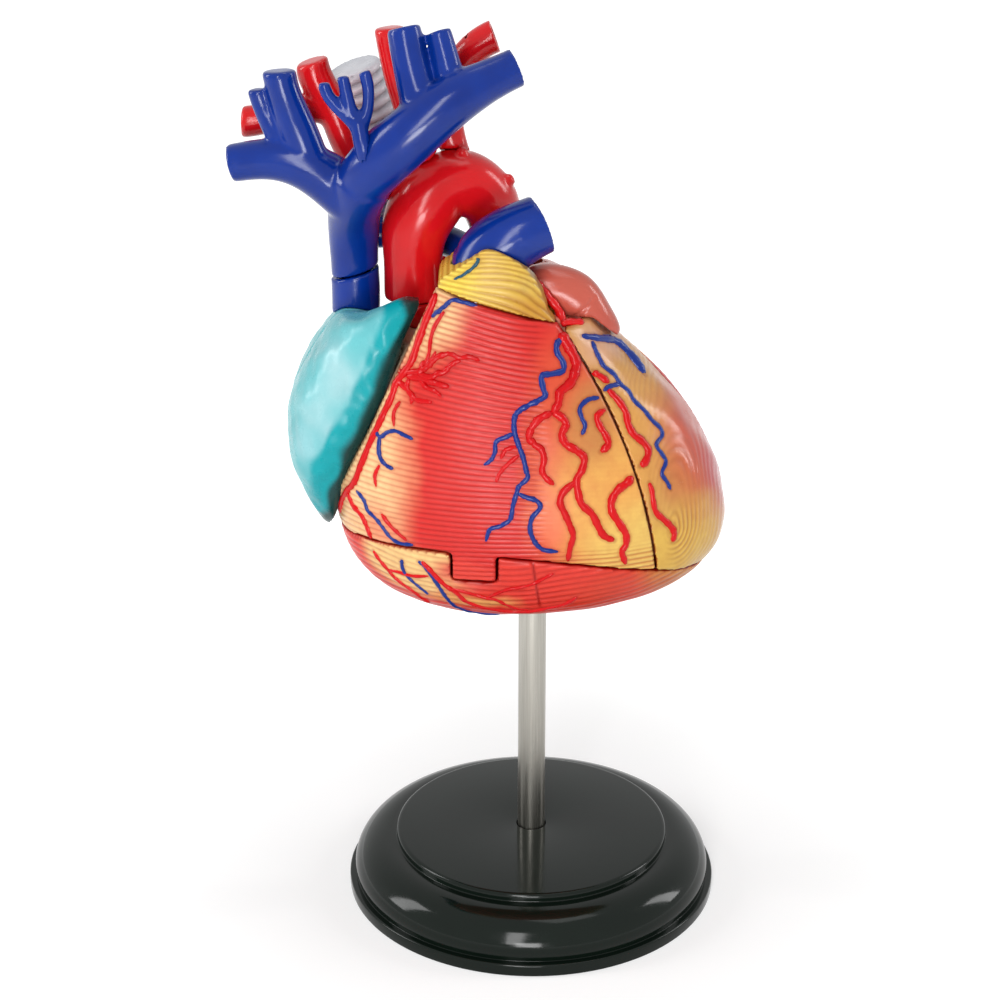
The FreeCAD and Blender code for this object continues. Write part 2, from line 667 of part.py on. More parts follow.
def base_shell():
    outer_top, outer_end, outer_arc = roll_arc(0.0)
    inner_top, inner_end, inner_arc = roll_arc(BASE_WALL)
    inner_radius = BASE_ROLL_RADIUS - BASE_WALL
    outside = (
        (0, BASE_DISC_HEIGHT),
        (BASE_DISC_RADIUS, BASE_DISC_HEIGHT),
        (BASE_DISC_RADIUS, BASE_ROLL_TOP),
        (outer_top.x, outer_top.z),
    )
    foot = (
        (outer_end.x, outer_end.z),
        (BASE_ROLL_FOOT_RADIUS, BASE_RIM_HEIGHT),
        (BASE_RADIUS, BASE_RIM_HEIGHT),
        (BASE_RADIUS, 0),
        (inner_radius + COVER_LEDGE, 0),
        (inner_radius + COVER_LEDGE, COVER_THICKNESS),
        (inner_radius, COVER_THICKNESS),
        (inner_end.x, inner_end.z),
    )
    inside = (
        (inner_top.x, inner_top.z),
        (BASE_DISC_RADIUS - BASE_WALL, BASE_ROLL_TOP - BASE_WALL),
        (BASE_DISC_RADIUS - BASE_WALL, BASE_DISC_HEIGHT - BASE_WALL),
        (0, BASE_DISC_HEIGHT - BASE_WALL),
        (0, BASE_DISC_HEIGHT),
    )
    profile = [outer_arc, inner_arc]
    for outline in (outside, foot, inside):
        corners = [Vec(radius, 0, z) for radius, z in outline]
        profile += [Part.makeLine(a, b) for a, b in zip(corners, corners[1:])]
    face = Part.Face(Part.Wire(Part.__sortEdges__(profile)))
    shell = face.revolve(Vec(0, 0, 0), UP, 360)
    ceiling = BASE_DISC_HEIGHT - BASE_WALL + JOIN
    shell = shell.fuse(rod(UP * COVER_THICKNESS, UP * ceiling, BASE_BOSS_RADIUS))
    rib_foot = COVER_THICKNESS + BASE_RIB_FOOT_GAP
    for i in range(BASE_RIB_COUNT):
        rib = Part.makeBox(BASE_DISC_RADIUS - BASE_RIB_END_GAP, BASE_RIB_THICKNESS, ceiling - rib_foot,
                           Vec(0, -BASE_RIB_THICKNESS / 2, rib_foot))
        rib.rotate(Vec(0, 0, 0), UP, 360 * i / BASE_RIB_COUNT)
        shell = shell.fuse(rib)
    return shell.cut(rod(UP * ROD_BOTTOM, UP * (BASE_DISC_HEIGHT + PAST), ROD_RADIUS + ROD_BASE_GAP))


def base_bottom_cover():
    radius = BASE_ROLL_RADIUS - BASE_WALL + COVER_LEDGE - COVER_FIT
    return Part.makeCylinder(radius, COVER_THICKNESS)


def stand_rod():
    bar = rod(UP * ROD_BOTTOM, UP * ROD_TOP, ROD_RADIUS)
    return bar.cut(rod(UP * (ROD_BOTTOM - PAST), UP * (ROD_TOP + PAST), ROD_RADIUS - ROD_WALL))


# ---------------------------------------------------------------- ventricle walls
def tab_block(gap):
    """Space of the front wall's tab below the lower cut."""
    return box_between(Vec(TAB_LEFT - gap, -FAR, TAB_FOOT - gap), Vec(TAB_RIGHT + gap, TAB_BACK_Y, TAB_TOP))


def socket_boss(gap=0.0):
    radius = ROD_RADIUS + ROD_HEART_GAP + SOCKET_WALL + gap
    return rod(UP * FAR, UP * (ROD_TOP + SOCKET_TOP), radius)


def lower_heart_wall(outer, inner):
    bowl = inside_arc(outer.cut(inner), LOWER_CUT, SEAM / 2)
    rib = inside_arc(septum_slab().common(inner), LOWER_CUT, SEAM / 2)
    bowl = bowl.fuse(rib).fuse(socket_boss().common(outer))
    bowl = bowl.cut(tab_block(TAB_GAP))
    for x in SEPTUM_PEGS:
        bowl = bowl.cut(septum_peg(x, PEG_GAP))
    hole = rod(UP * FAR, UP * ROD_TOP, ROD_RADIUS + ROD_HEART_GAP)
    return bowl.cut(hole)


def septum_peg(x, gap):
    """Upright peg under the septum."""
    centre, radius = LOWER_CUT
    z = centre.z + math.sqrt(radius ** 2 - (x - centre.x) ** 2)
    y = septum_y(x, z, 0)
    return rod(Vec(x, y, z - PEG_DEPTH - gap), Vec(x, y, z + PEG_ROOT), PEG_RADIUS + gap)


def front_half(shell):
    """Wall in front of the split, above the lower cut."""
    return outside_arc(in_front(shell, SPLIT_Y - SEAM / 2), LOWER_CUT, SEAM / 2)


def right_ventricle_front_wall(outer, shell):
    wall = inside_arc(front_half(shell), FRONT_SEAM, SEAM / 2)
    tab = in_front(shell, TAB_BACK_Y).common(tab_block(0))
    wall = wall.fuse(tab)
    wall = over(under(wall, COLLAR_FOOT, SEAM), GROOVE)
    notch = box_between(Vec(-FAR, AORTA_NOTCH.y, AORTA_NOTCH.z), Vec(AORTA_NOTCH.x, FAR, BLOCK))
    wall = largest(wall.cut(notch))
    for post in posts(FRONT_WALL_POSTS, outer):
        wall = wall.fuse(post)
    return wall


def left_ventricle_side_wall(outer, shell):
    wall = below(outside_arc(front_half(shell), FRONT_SEAM, SEAM / 2), SIDE_WALL_TOP)
    for post in posts(SIDE_WALL_POSTS, outer):
        wall = wall.fuse(post)
    return wall


def ventricle_back_wall(inner, shell):
    wall = outside_arc(behind(shell, SPLIT_Y + SEAM / 2), LOWER_CUT, SEAM / 2)
    wall = over(below(wall, BACK_WALL_TOP), GROOVE)
    rim = behind(inner.cut(heart(WALL + LEDGE_DEPTH)), LEDGE_START_Y)
    foot = VALVE_PLATE_FOOT - LEDGE_GAP
    ledge = above(below(rim, foot), foot - LEDGE_THICKNESS)
    ledge = over(ledge, GROOVE, GROOVE_PLATE_INSIDE + LEDGE_GROOVE_GAP)
    return wall.fuse(ledge)


# ---------------------------------------------------------------- inner pieces
def interventricular_septum(inside, collar_keep_out):
    slab = outside_arc(septum_slab().common(inside), LOWER_CUT, SEAM / 2)
    slab = under(slab, COLLAR_FOOT)
    slab = over(slab, GROOVE, GROOVE_PLATE_INSIDE)
    slab = slab.cut(socket_boss(SEAM))
    for cutter in collar_keep_out:
        slab = slab.cut(cutter)
    for x, z in FRONT_WALL_POSTS + SIDE_WALL_POSTS:
        face = septum_y(x, z, -SEPTUM_THICKNESS / 2)
        hole_end = face + PEG_DEPTH + PEG_GAP
        slab = slab.cut(rod(Vec(x, face - POST_OVERLAP, z), Vec(x, hole_end, z), PEG_RADIUS + PEG_GAP))
    for x in SEPTUM_PEGS:
        slab = slab.fuse(septum_peg(x, 0))
    return slab


def tricuspid_axis():
    inward = cut_plane(GROOVE)[1]
    return groove_point(TRICUSPID_DOWN, ATRIUM_GAP, TRICUSPID_Y), inward


def valve_ring_plate(inside, aorta_space):
    level = above(below(inside, VALVE_PLATE_TOP), VALVE_PLATE_FOOT)
    level = over(behind_septum(level), GROOVE, GROOVE_PLATE_INSIDE)
    slanted = over(below(outside_arc(inside, LOWER_CUT, SEAM), GROOVE_PLATE_TOP), GROOVE)
    step = over(below(heart(WALL + STEP_SET_BACK), GROOVE_PLATE_TOP), GROOVE, -ATRIUM_GAP)
    slanted = under(slanted.fuse(step), GROOVE, -GROOVE_PLATE_INSIDE)
    plate = level.fuse(slanted).cut(aorta_space)
    for centre, radius in ((MITRAL, MITRAL_RADIUS), (AORTIC, AORTIC_RADIUS)):
        plate = plate.cut(rod(centre - UP * VALVE_BORE_REACH, centre + UP * PAST, radius))
    centre, inward = tricuspid_axis()
    return plate.cut(rod(centre - inward * PAST, centre + inward * VALVE_BORE_REACH, TRICUSPID_RADIUS))


def tricuspid_valve():
    centre, inward = tricuspid_axis()
    return leaf_valve(centre, inward, TRICUSPID_RADIUS, TRICUSPID_LEAVES)


def mitral_valve():
    return leaf_valve(MITRAL, UP * -1, MITRAL_RADIUS, MITRAL_LEAVES)


def aortic_valve():
    return leaf_valve(AORTIC - UP * AORTIC_LEAVES[0], UP, AORTIC_RADIUS, AORTIC_LEAVES)


def pulmonary_valve():
    foot = TRUNK_SEAT - TRUNK_AXIS * PULMONARY_LEAVES[0]
    return leaf_valve(foot, TRUNK_AXIS, OUTFLOW_RADIUS, PULMONARY_LEAVES)


def papillary(foot_x, foot_z, tip, cords, side):
    """Cone of muscle standing on one face of the septum, with cords from its tip to a valve."""
    foot = Vec(foot_x, septum_y(foot_x, foot_z, side * SEPTUM_THICKNESS / 2), foot_z)
    axis = unit(tip - foot)
    root = foot - axis * PAPILLARY_ROOT
    cone = Part.makeCone(PAPILLARY_FOOT_RADIUS, PAPILLARY_TIP_RADIUS, (tip - root).Length, root, axis)
    normal = unit(SEPTUM_NORMAL) * side
    muscle = beyond(cone, SEPTUM_POINT + normal * (SEPTUM_THICKNESS / 2), normal)
    for cord in cords:
        muscle = muscle.fuse(rod(tip - axis * PAST, cord, CORD_RADIUS))
    return muscle


def papillary_pad(low, high, side):
    """Thin pad joining the feet of the muscles on one face of the septum."""
    normal = unit(SEPTUM_NORMAL) * side
    face = SEPTUM_POINT + normal * (SEPTUM_THICKNESS / 2)
    return beyond(beyond(box_between(low, high), face, normal), face + normal * PAD_THICKNESS, normal * -1)


def papillary_muscles(muscles, pad, side, valve):
    """The muscles of one ventricle with their pad; side is -1 in front of the septum and 1 behind it."""
    group = papillary_pad(*pad, side)
    for muscle in muscles:
        group = group.fuse(papillary(*muscle, side))
    return largest(group.cut(valve))


# ---------------------------------------------------------------- collar, auricle and atria
def collar_block(outer, gap):
    """Slice of the ventricle body between the collar's cuts, ending at the front seam."""
    slab = over(outer, COLLAR_FOOT, -gap)
    slab = under(under(slab, COLLAR_TOP, -gap), COLLAR_SHOULDER, -gap)
    return inside_arc(over(slab, GROOVE, -gap), FRONT_SEAM, SEAM / 2 - gap)


def fat_collar(outer, aorta_space):
    collar = collar_block(outer, 0.0).cut(aorta_space)
    collar = collar.cut(rod(TRUNK_SEAT, TRUNK_SEAT + TRUNK_AXIS * FAR, TRUNK_BASE_RADIUS + TRUNK_FIT))
    collar = clear_path(collar, tube(TRUNK, SEAM), TRUNK_AXIS, TRUNK_PATH).cut(outflow_bore(PAST))
    holes = ((LEFT_ATRIUM_PEG, BACK * LEFT_ATRIUM_PEG_HOLE), (AURICLE_PEG, RIGHT * AURICLE_PEG_HOLE))
    for foot, reach in holes:
        collar = collar.cut(rod(foot - unit(reach) * PEG_GAP, foot + reach, PEG_RADIUS + PEG_GAP))
    return largest(collar)


def outflow_bore(above_seat):
    """Way out of the right ventricle, through the collar to the pulmonary trunk."""
    return rod(TRUNK_SEAT - TRUNK_AXIS * OUTFLOW_LENGTH, TRUNK_SEAT + TRUNK_AXIS * above_seat, OUTFLOW_RADIUS)


def left_auricle(around, collar_space, atrium_space):
    blob = tube(AURICLE)
    blob = clear_path(blob, below(around, AURICLE_FOOT), BACK * -1, WALL_PATH)
    blob = clear_path(blob, collar_space, RIGHT * -1, COLLAR_PATH).cut(atrium_space)
    return largest(blob).fuse(rod(AURICLE_PEG, AURICLE_PEG + RIGHT * AURICLE_PEG_LENGTH, PEG_RADIUS))


def left_atrium_shell(outer_atrium, collar_space):
    """Dome open below, with a peg into the collar's back."""
    foot = LEFT_ATRIUM_SECTIONS[0]
    opening = (foot[0] - 2 * LEFT_ATRIUM_WALL,) + foot[1:]
    inner = level_loft((opening,) + LEFT_ATRIUM_SECTIONS, LEFT_ATRIUM_WALL, HEART_ROUNDNESS)
    shell = outer_atrium.cut(inner).cut(collar_space)
    peg = rod(LEFT_ATRIUM_PEG, LEFT_ATRIUM_PEG + BACK * LEFT_ATRIUM_PEG_LENGTH, PEG_RADIUS)
    return largest(shell).fuse(peg)


def right_atrium_body(outer_atrium, inner_atrium, aorta_space):
    return under(outer_atrium.cut(inner_atrium), GROOVE, ATRIUM_GAP).cut(aorta_space)


def right_atrium_front_shell(body, outer_atrium):
    shell = in_front(body, ATRIUM_SPLIT_Y - SEAM / 2)
    inside = under(outer_atrium, GROOVE, ATRIUM_GAP)
    for down, out in ATRIUM_BOSSES:
        spot = groove_point(down, out, ATRIUM_SPLIT_Y)
        boss = rod(spot - BACK * ATRIUM_BOSS_LENGTH, spot - BACK * (SEAM / 2), ATRIUM_BOSS_RADIUS)
        peg = rod(spot - BACK * PEG_ROOT, spot + BACK * PEG_DEPTH, ATRIUM_PEG_RADIUS)
        shell = shell.fuse(boss.common(inside)).fuse(peg)
    return shell


def right_atrium_back_shell(body, outer_atrium, aorta_space):
    shell = behind(body, ATRIUM_SPLIT_Y + SEAM / 2)
    flange = under(outer_atrium, GROOVE, ATRIUM_GAP)
    flange = over(flange, GROOVE, -ATRIUM_GAP - ATRIUM_FLANGE)
    flange = behind(flange, ATRIUM_SPLIT_Y + SEAM / 2).cut(aorta_space)
    centre, inward = tricuspid_axis()
    bore_radius = TRICUSPID_RADIUS + ATRIUM_FLANGE_GAP
    flange = flange.cut(rod(centre - inward * (ATRIUM_FLANGE + PAST), centre + inward * PAST, bore_radius))
    shell = shell.fuse(flange)
    inside = under(outer_atrium, GROOVE, ATRIUM_GAP)
    for down, out in ATRIUM_BOSSES:
        spot = groove_point(down, out, ATRIUM_SPLIT_Y)
        boss = rod(spot + BACK * (SEAM / 2), spot + BACK * ATRIUM_BOSS_LENGTH, ATRIUM_BOSS_RADIUS)
        hole = rod(spot - BACK * PAST, spot + BACK * (PEG_DEPTH + PEG_GAP), ATRIUM_PEG_RADIUS + PEG_GAP)
        shell = shell.fuse(boss.common(inside)).cut(hole)
    return shell.cut(cuff_bore())


# ---------------------------------------------------------------- great vessels
def cuff_bore():
    foot = Vec(*CUFF[0][:3])
    return rod(foot, Vec(foot.x, foot.y, CUFF[1][2] + PAST), CUFF_BORE_RADIUS)


def superior_vena_cava_cuff(outer_atrium):
    return under(tube(CUFF), CUFF_SEAM).cut(outer_atrium).cut(cuff_bore())


def vein_tree():
    trunk = over(tube(VEIN_TRUNK), CUFF_SEAM)
    branches = (RIGHT_BRACHIOCEPHALIC_VEIN, LEFT_BRACHIOCEPHALIC_VEIN, RIGHT_JUGULAR_VEIN, RIGHT_SIDE_VEIN,
                LEFT_JUGULAR_VEIN, LEFT_SIDE_VEIN)
    tree = trunk.fuse(vessels(branches, (LEFT_BRACHIOCEPHALIC_VEIN,)))
    wide, narrow, length = VEIN_SPIGOT
    centre = Vec(CUFF[0][0], CUFF[0][1], (CUFF_SEAM[0].z + CUFF_SEAM[1].z) / 2)
    spigot = Part.makeCone(wide, narrow, length + VEIN_SPIGOT_ROOT, centre + UP * VEIN_SPIGOT_ROOT, UP * -1)
    return tree.fuse(spigot)


def thymic_vein(tree):
    return largest(vessels((THYMIC_TRUNK, RIGHT_PRONG, MIDDLE_PRONG, LEFT_PRONG)).cut(tree))


def aortic_root():
    root = below(tube(AORTIC_ROOT), AORTA_SEAT)
    root = above(root, VALVE_PLATE_TOP)
    seat = Vec(*AORTA[0][:2], AORTA_SEAT)
    hole_foot = seat - UP * (AORTA_SPIGOT_LENGTH + AORTA_SPIGOT_END_GAP)
    root = root.cut(rod(hole_foot, seat + UP * PAST, AORTA_SPIGOT_RADIUS + PEG_GAP))
    return root.cut(tube(AORTIC_ROOT, -AORTIC_ROOT_WALL))


def aortic_arch():
    arch = above(tube(AORTA), AORTA_SEAT)
    for stub in AORTA_STUBS:
        arch = arch.fuse(tube(stub))
    arch = arch.cut(tip_bore(AORTA))
    seat = Vec(*AORTA[0][:2], AORTA_SEAT)
    foot = seat - UP * AORTA_SPIGOT_LENGTH
    arch = arch.fuse(rod(foot, seat + UP * AORTA_SPIGOT_ROOT, AORTA_SPIGOT_RADIUS))
    return arch.cut(rod(foot - UP * PAST, seat + UP * AORTA_BORE, AORTA_SPIGOT_RADIUS - AORTA_SPIGOT_WALL))


def branch_off(branches, stem, open_tips=()):
    """Vessels that start on the outside of another one."""
    return largest(vessels(branches, open_tips).cut(stem))


def pulmonary_trunk():
    trunk = tube(TRUNK).fuse(rod(TRUNK_SEAT, TRUNK_SEAT + TRUNK_AXIS * TRUNK_FOOT, TRUNK_BASE_RADIUS))
    trunk = trunk.cut(tip_bore(TRUNK))
    return trunk.cut(rod(TRUNK_SEAT - TRUNK_AXIS, TRUNK_SEAT + TRUNK_AXIS * TRUNK_BORE, OUTFLOW_RADIUS))


def right_pulmonary_artery(collar_solid, aorta_space):
    artery = vessels((RIGHT_PULMONARY,), (RIGHT_PULMONARY,))
    top = TRACHEA_SEAT
    artery = artery.fuse(rod(Vec(top.x, top.y, RIGHT_PULMONARY[3][2]), top, TRACHEA_SEAT_RADIUS))
    hole_foot = top - UP * (TRACHEA_PEG_LENGTH + PEG_GAP)
    artery = artery.cut(rod(hole_foot, top + UP * PAST, TRACHEA_PEG_RADIUS + PEG_GAP))
    return largest(artery.cut(collar_solid).cut(aorta_space))


def trachea():
    pipe = vessels((TRACHEA, RIGHT_BRONCHUS, LEFT_BRONCHUS), (RIGHT_BRONCHUS, LEFT_BRONCHUS))
    foot = TRACHEA_SEAT
    pipe = pipe.fuse(rod(foot, foot + UP * TRACHEA_SEAT_LENGTH, TRACHEA_SEAT_RADIUS))
    return pipe.fuse(rod(foot - UP * TRACHEA_PEG_LENGTH, foot + UP * PAST, TRACHEA_PEG_RADIUS))


def inferior_vena_cava(outer_atrium, around):
    return largest(vessels((LOWER_CAVA,), (LOWER_CAVA,)).cut(outer_atrium).cut(around))


def pulmonary_vein(branch, outer_left_atrium):
    return largest(vessels((branch,), (branch,)).cut(outer_left_atrium))


# ---------------------------------------------------------------- assembly
def build():
    outer, inner = heart(0.0), heart(WALL)
    shell = outer.cut(inner)
    inside, around = heart(WALL + INNER_FIT), heart(-SEAM)
    outer_atrium, inner_atrium = atrium(0.0), atrium(ATRIUM_WALL)
    outer_left_atrium = level_loft(LEFT_ATRIUM_SECTIONS, 0.0, HEART_ROUNDNESS)
    aorta_space = tube(AORTA, AORTA_CLEARANCE).fuse(tube(AORTIC_ROOT, AORTIC_ROOT_CLEARANCE))
    collar_space = collar_block(around, SEAM)
    atrium_body = right_atrium_body(outer_atrium, inner_atrium, aorta_space)
    tree = vein_tree()
    arch = aortic_arch()
    collar = fat_collar(outer, aorta_space)
    pieces = {
        "base_shell": base_shell(),
        "base_bottom_cover": base_bottom_cover(),
        "stand_rod": stand_rod(),
        "lower_heart_wall": lower_heart_wall(outer, inner),
        "right_ventricle_front_wall": right_ventricle_front_wall(outer, shell),
        "left_ventricle_side_wall": left_ventricle_side_wall(outer, shell),
        "ventricle_back_wall": ventricle_back_wall(inner, shell),
        "interventricular_septum": interventricular_septum(inside, (aorta_space, outflow_bore(0.0))),
        "valve_ring_plate": valve_ring_plate(inside, aorta_space),
        "tricuspid_valve": tricuspid_valve(),
        "mitral_valve": mitral_valve(),
        "aortic_valve": aortic_valve(),
        "pulmonary_valve": pulmonary_valve(),
        "right_papillary_muscles": papillary_muscles(RIGHT_PAPILLARIES, RIGHT_PAD, -1, tricuspid_valve()),
        "left_papillary_muscles": papillary_muscles(LEFT_PAPILLARIES, LEFT_PAD, 1, mitral_valve()),
        "fat_collar": collar,
        "left_auricle": left_auricle(around, collar_space, outer_left_atrium),
        "left_atrium_shell": left_atrium_shell(outer_left_atrium, collar_space),
        "right_atrium_front_shell": right_atrium_front_shell(atrium_body, outer_atrium),
        "right_atrium_back_shell": right_atrium_back_shell(atrium_body, outer_atrium, aorta_space),
        "inferior_vena_cava": inferior_vena_cava(atrium(-SEAM), around),
        "superior_vena_cava_cuff": superior_vena_cava_cuff(outer_atrium),
        "vein_tree": tree,
        "thymic_vein": thymic_vein(tree),
        "aortic_root": aortic_root(),
        "aortic_arch": arch,
        "brachiocephalic_artery": branch_off((BRACHIOCEPHALIC, RIGHT_SUBCLAVIAN), arch),
        "left_carotid_artery": branch_off((LEFT_CAROTID,), arch),
        "left_subclavian_artery": branch_off((LEFT_SUBCLAVIAN,), arch, (LEFT_SUBCLAVIAN,)),
        "pulmonary_trunk": pulmonary_trunk(),
        "right_pulmonary_artery": right_pulmonary_artery(collar, aorta_space),
        "trachea": trachea(),
    }
    for place, branch in PULMONARY_VEINS.items():
        pieces[place + "_pulmonary_vein"] = pulmonary_vein(branch, outer_left_atrium)
    return pieces


if __name__ == "__main__":
    os.makedirs("parts", exist_ok=True)
    for name, shape in build().items():
        bounds = shape.BoundBox
        print("%-28s solids %d valid %s volume %9.1f  x %.1f..%.1f y %.1f..%.1f z %.1f..%.1f" % (
            name, len(shape.Solids), shape.isValid(), shape.Volume, bounds.XMin, bounds.XMax, bounds.YMin,
            bounds.YMax, bounds.ZMin, bounds.ZMax))
        shape.exportStep("parts/%s.step" % name)
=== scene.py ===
"""Looks of a take-apart human heart model on a round display stand.

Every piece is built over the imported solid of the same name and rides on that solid's body.
Lengths in the settings are metres; tables and patterns below are millimetres in the model's frame:
+Z up, the heart's front towards -Y, its left ventricle on +X.
"""
import math
from contextlib import contextmanager

import bmesh
import bpy
import numpy as np
from bpy.props import FloatProperty, FloatVectorProperty, PointerProperty
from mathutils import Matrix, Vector
from mathutils.bvhtree import BVHTree
from mathutils.kdtree import KDTree


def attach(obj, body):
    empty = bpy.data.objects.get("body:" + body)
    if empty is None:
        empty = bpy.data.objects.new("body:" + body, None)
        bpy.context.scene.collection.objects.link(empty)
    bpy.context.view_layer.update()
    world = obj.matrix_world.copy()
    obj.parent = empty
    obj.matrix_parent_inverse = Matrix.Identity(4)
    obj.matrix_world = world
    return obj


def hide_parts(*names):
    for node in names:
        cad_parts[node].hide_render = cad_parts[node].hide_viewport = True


bl_info = {
    "name": "Take-apart heart model",
    "version": (1, 0, 0),
    "blender": (4, 5, 0),
    "location": "View3D > Sidebar > Heart",
    "description": "Builds the painted pieces of a classroom heart model on its stand",
    "category": "Object",
}

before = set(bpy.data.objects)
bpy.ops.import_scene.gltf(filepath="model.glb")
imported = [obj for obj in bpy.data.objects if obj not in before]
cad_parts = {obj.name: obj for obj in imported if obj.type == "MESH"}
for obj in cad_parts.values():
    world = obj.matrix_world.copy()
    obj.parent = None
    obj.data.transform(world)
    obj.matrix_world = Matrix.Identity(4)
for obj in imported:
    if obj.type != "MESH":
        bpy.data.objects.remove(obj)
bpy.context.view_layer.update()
MM = 0.001


# ---- colours and settings
def linear(code):
    """sRGB hex to linear red, green and blue."""
    parts = [int(code[i:i + 2], 16) / 255 for i in (1, 3, 5)]
    return tuple(p / 12.92 if p <= 0.04045 else ((p + 0.055) / 1.055) ** 2.4 for p in parts)


def colour(name, code, text):
    return FloatVectorProperty(name=name, description=text, subtype="COLOR", size=3, min=0, max=1,
                               default=linear(code))


def length(name, millimetres, text):
    return FloatProperty(name=name, description=text, default=millimetres * MM, min=0, unit="LENGTH",
                         subtype="DISTANCE", precision=5)


class HeartStandSettings(bpy.types.PropertyGroup):
    rim_radius: length("Rim radius", 43.0, "Radius of the stand's thin rim")
    rim_height: length("Rim height", 2.8, "Height of the rim's top over the table")
    roll_radius: length("Roll radius", 41.7, "Radius of the roll moulding at its widest")
    roll_height: length("Roll height", 12.0, "Height of the roll moulding's top")
    disc_radius: length("Disc radius", 31.8, "Radius of the raised disc")
    disc_height: length("Disc height", 13.9, "Height of the raised disc's top")
    rod_radius: length("Rod radius", 3.175, "Radius of the upright rod")
    plastic: colour("Black plastic", "#0A130E", "Polished black plastic of the stand")
    steel: colour("Rod steel", "#B9B6AE", "Drawn steel of the rod")


class HeartWallSettings(bpy.types.PropertyGroup):
    grain: length("Mesh size", 0.56, "Voxel size before the outside is divided once more")
    ridge_pitch: length("Ridge pitch", 1.22, "Distance from one muscle ridge to the next")
    ridge_depth: length("Ridge depth", 0.2, "Depth of the grooves between ridges")
    artery_radius: length("Artery radius", 0.86, "Radius of a raised coronary artery")
    vein_radius: length("Vein radius", 0.64, "Radius of a raised coronary vein")
    muscle: colour("Muscle red", "#D62F2B", "Sprayed coral red of the muscle")
    artery: colour("Artery red", "#D20A12", "Gloss red of the coronary arteries")
    vein: colour("Vein blue", "#0C2A80", "Gloss blue of the coronary veins")


class HeartVesselSettings(bpy.types.PropertyGroup):
    grain: length("Mesh size", 0.42, "Voxel size of the smooth vessels")
    blue: colour("Vein blue", "#05308C", "Gloss blue of the great veins and the pulmonary artery")
    red: colour("Artery red", "#D6141A", "Gloss red of the aorta and its branches")
    windpipe: colour("Windpipe white", "#BFC2CA", "Off-white of the windpipe")
    ring_pitch: length("Ring pitch", 2.35, "Distance from one windpipe ring to the next")


class HeartAtriumSettings(bpy.types.PropertyGroup):
    grain: length("Mesh size", 0.5, "Voxel size of the atria")
    pearl: colour("Pearl teal", "#6CBEC3", "Pearly light teal of the right atrium's face")
    teal: colour("Deep teal", "#06A0A8", "Saturated teal along its rolled edge")
    # The dark teal is painted shade on the side that faces the front wall across the crevice.
    shade: colour("Dark teal", "#17403F", "Dark teal of the side that meets the front wall")
    coral: colour("Auricle coral", "#C05A4A", "Gloss salmon of the left auricle and atrium")
    lump: length("Lump height", 0.3, "Height of the hammered lumps")


class HeartStageSettings(bpy.types.PropertyGroup):
    camera_distance: length("Camera distance", 441.3, "Distance of the camera in front of the stand's axis")
    camera_height: length("Camera height", 273.51, "Height of the camera over the table")
    camera_side: FloatProperty(name="Camera side", description="Sideways place of the camera",
                               default=-7.37 * MM, unit="LENGTH")
    camera_tilt: FloatProperty(name="Camera tilt", description="Downward tilt of the camera",
                               default=math.radians(21.905), subtype="ANGLE")
    camera_lens: FloatProperty(name="Lens", description="Focal length on a 36 mm frame", default=76.97, unit="CAMERA")
    ambient: FloatProperty(name="Ambient", description="Strength of the light from all round", default=0.22, min=0)
    key_power: FloatProperty(name="Key power", description="Power of the tall lamp in front", default=4.7,
                             subtype="POWER")


GROUPS = {
    "heart_stand": HeartStandSettings,
    "heart_walls": HeartWallSettings,
    "heart_vessels": HeartVesselSettings,
    "heart_atria": HeartAtriumSettings,
    "heart_stage": HeartStageSettings,
}


# ---- mesh helpers
@contextmanager
def editing(mesh):
    """A mesh opened for work on its vertices, edges and faces, and written back afterwards."""
    work = bmesh.new()
    work.from_mesh(mesh)
    work.verts.ensure_lookup_table()
    yield work
    work.to_mesh(mesh)
    work.free()


def evaluated(piece):
    """The mesh that a piece's modifiers or its curve give."""
    return bpy.data.meshes.new_from_object(piece.evaluated_get(bpy.context.evaluated_depsgraph_get()))


def link(name, content):
    piece = bpy.data.objects.new(name, content)
    bpy.context.scene.collection.objects.link(piece)
    return piece


def soften(piece, rounds, numbers=None):
    """Smooth all vertices, or only the numbered ones, that many times."""
    with editing(piece.data) as work:
        chosen = work.verts if numbers is None else [work.verts[i] for i in numbers]
        for _ in range(rounds):
            bmesh.ops.smooth_vert(work, verts=chosen, factor=0.5, use_axis_x=True, use_axis_y=True, use_axis_z=True)


def remeshed(node, grain, rounds):
    """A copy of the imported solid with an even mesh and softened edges."""
    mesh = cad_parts[node].data.copy()
    mesh.materials.clear()
    with editing(mesh) as work:
        bmesh.ops.remove_doubles(work, verts=work.verts, dist=0.005 * MM)
    piece = link("new_" + node, mesh)
    modifier = piece.modifiers.new("even", "REMESH")
    modifier.mode = "VOXEL"
    modifier.voxel_size = grain
    piece.data = evaluated(piece)
    piece.modifiers.clear()
    bpy.data.meshes.remove(mesh)
    soften(piece, rounds)
    return piece


def hollow_ends(piece, wall=1.7, bore=9.0, clear=0.05):
    """Where a vessel's wall is thin (mm), and 1 on the part of it that faces into an open bore."""
    tree = BVHTree.FromObject(piece, bpy.context.evaluated_depsgraph_get())
    thin = np.zeros(len(piece.data.vertices), bool)
    hollow = np.zeros(len(thin))
    for vertex in piece.data.vertices:
        start, way = vertex.co, vertex.normal
        off = way * clear * MM
        thin[vertex.index] = tree.ray_cast(start - off, -way, wall * MM)[0] is not None
        if thin[vertex.index]:
            hollow[vertex.index] = tree.ray_cast(start + off, way, bore * MM)[0] is not None
    return thin, hollow


def points_of(mesh):
    """Vertex places in millimetres and unit normals."""
    count = len(mesh.vertices)
    places = np.empty(count * 3, np.float32)
    normals = np.empty(count * 3, np.float32)
    mesh.vertices.foreach_get("co", places)
    mesh.vertex_normals.foreach_get("vector", normals)
    return places.reshape(-1, 3).astype(float) / MM, normals.reshape(-1, 3).astype(float)


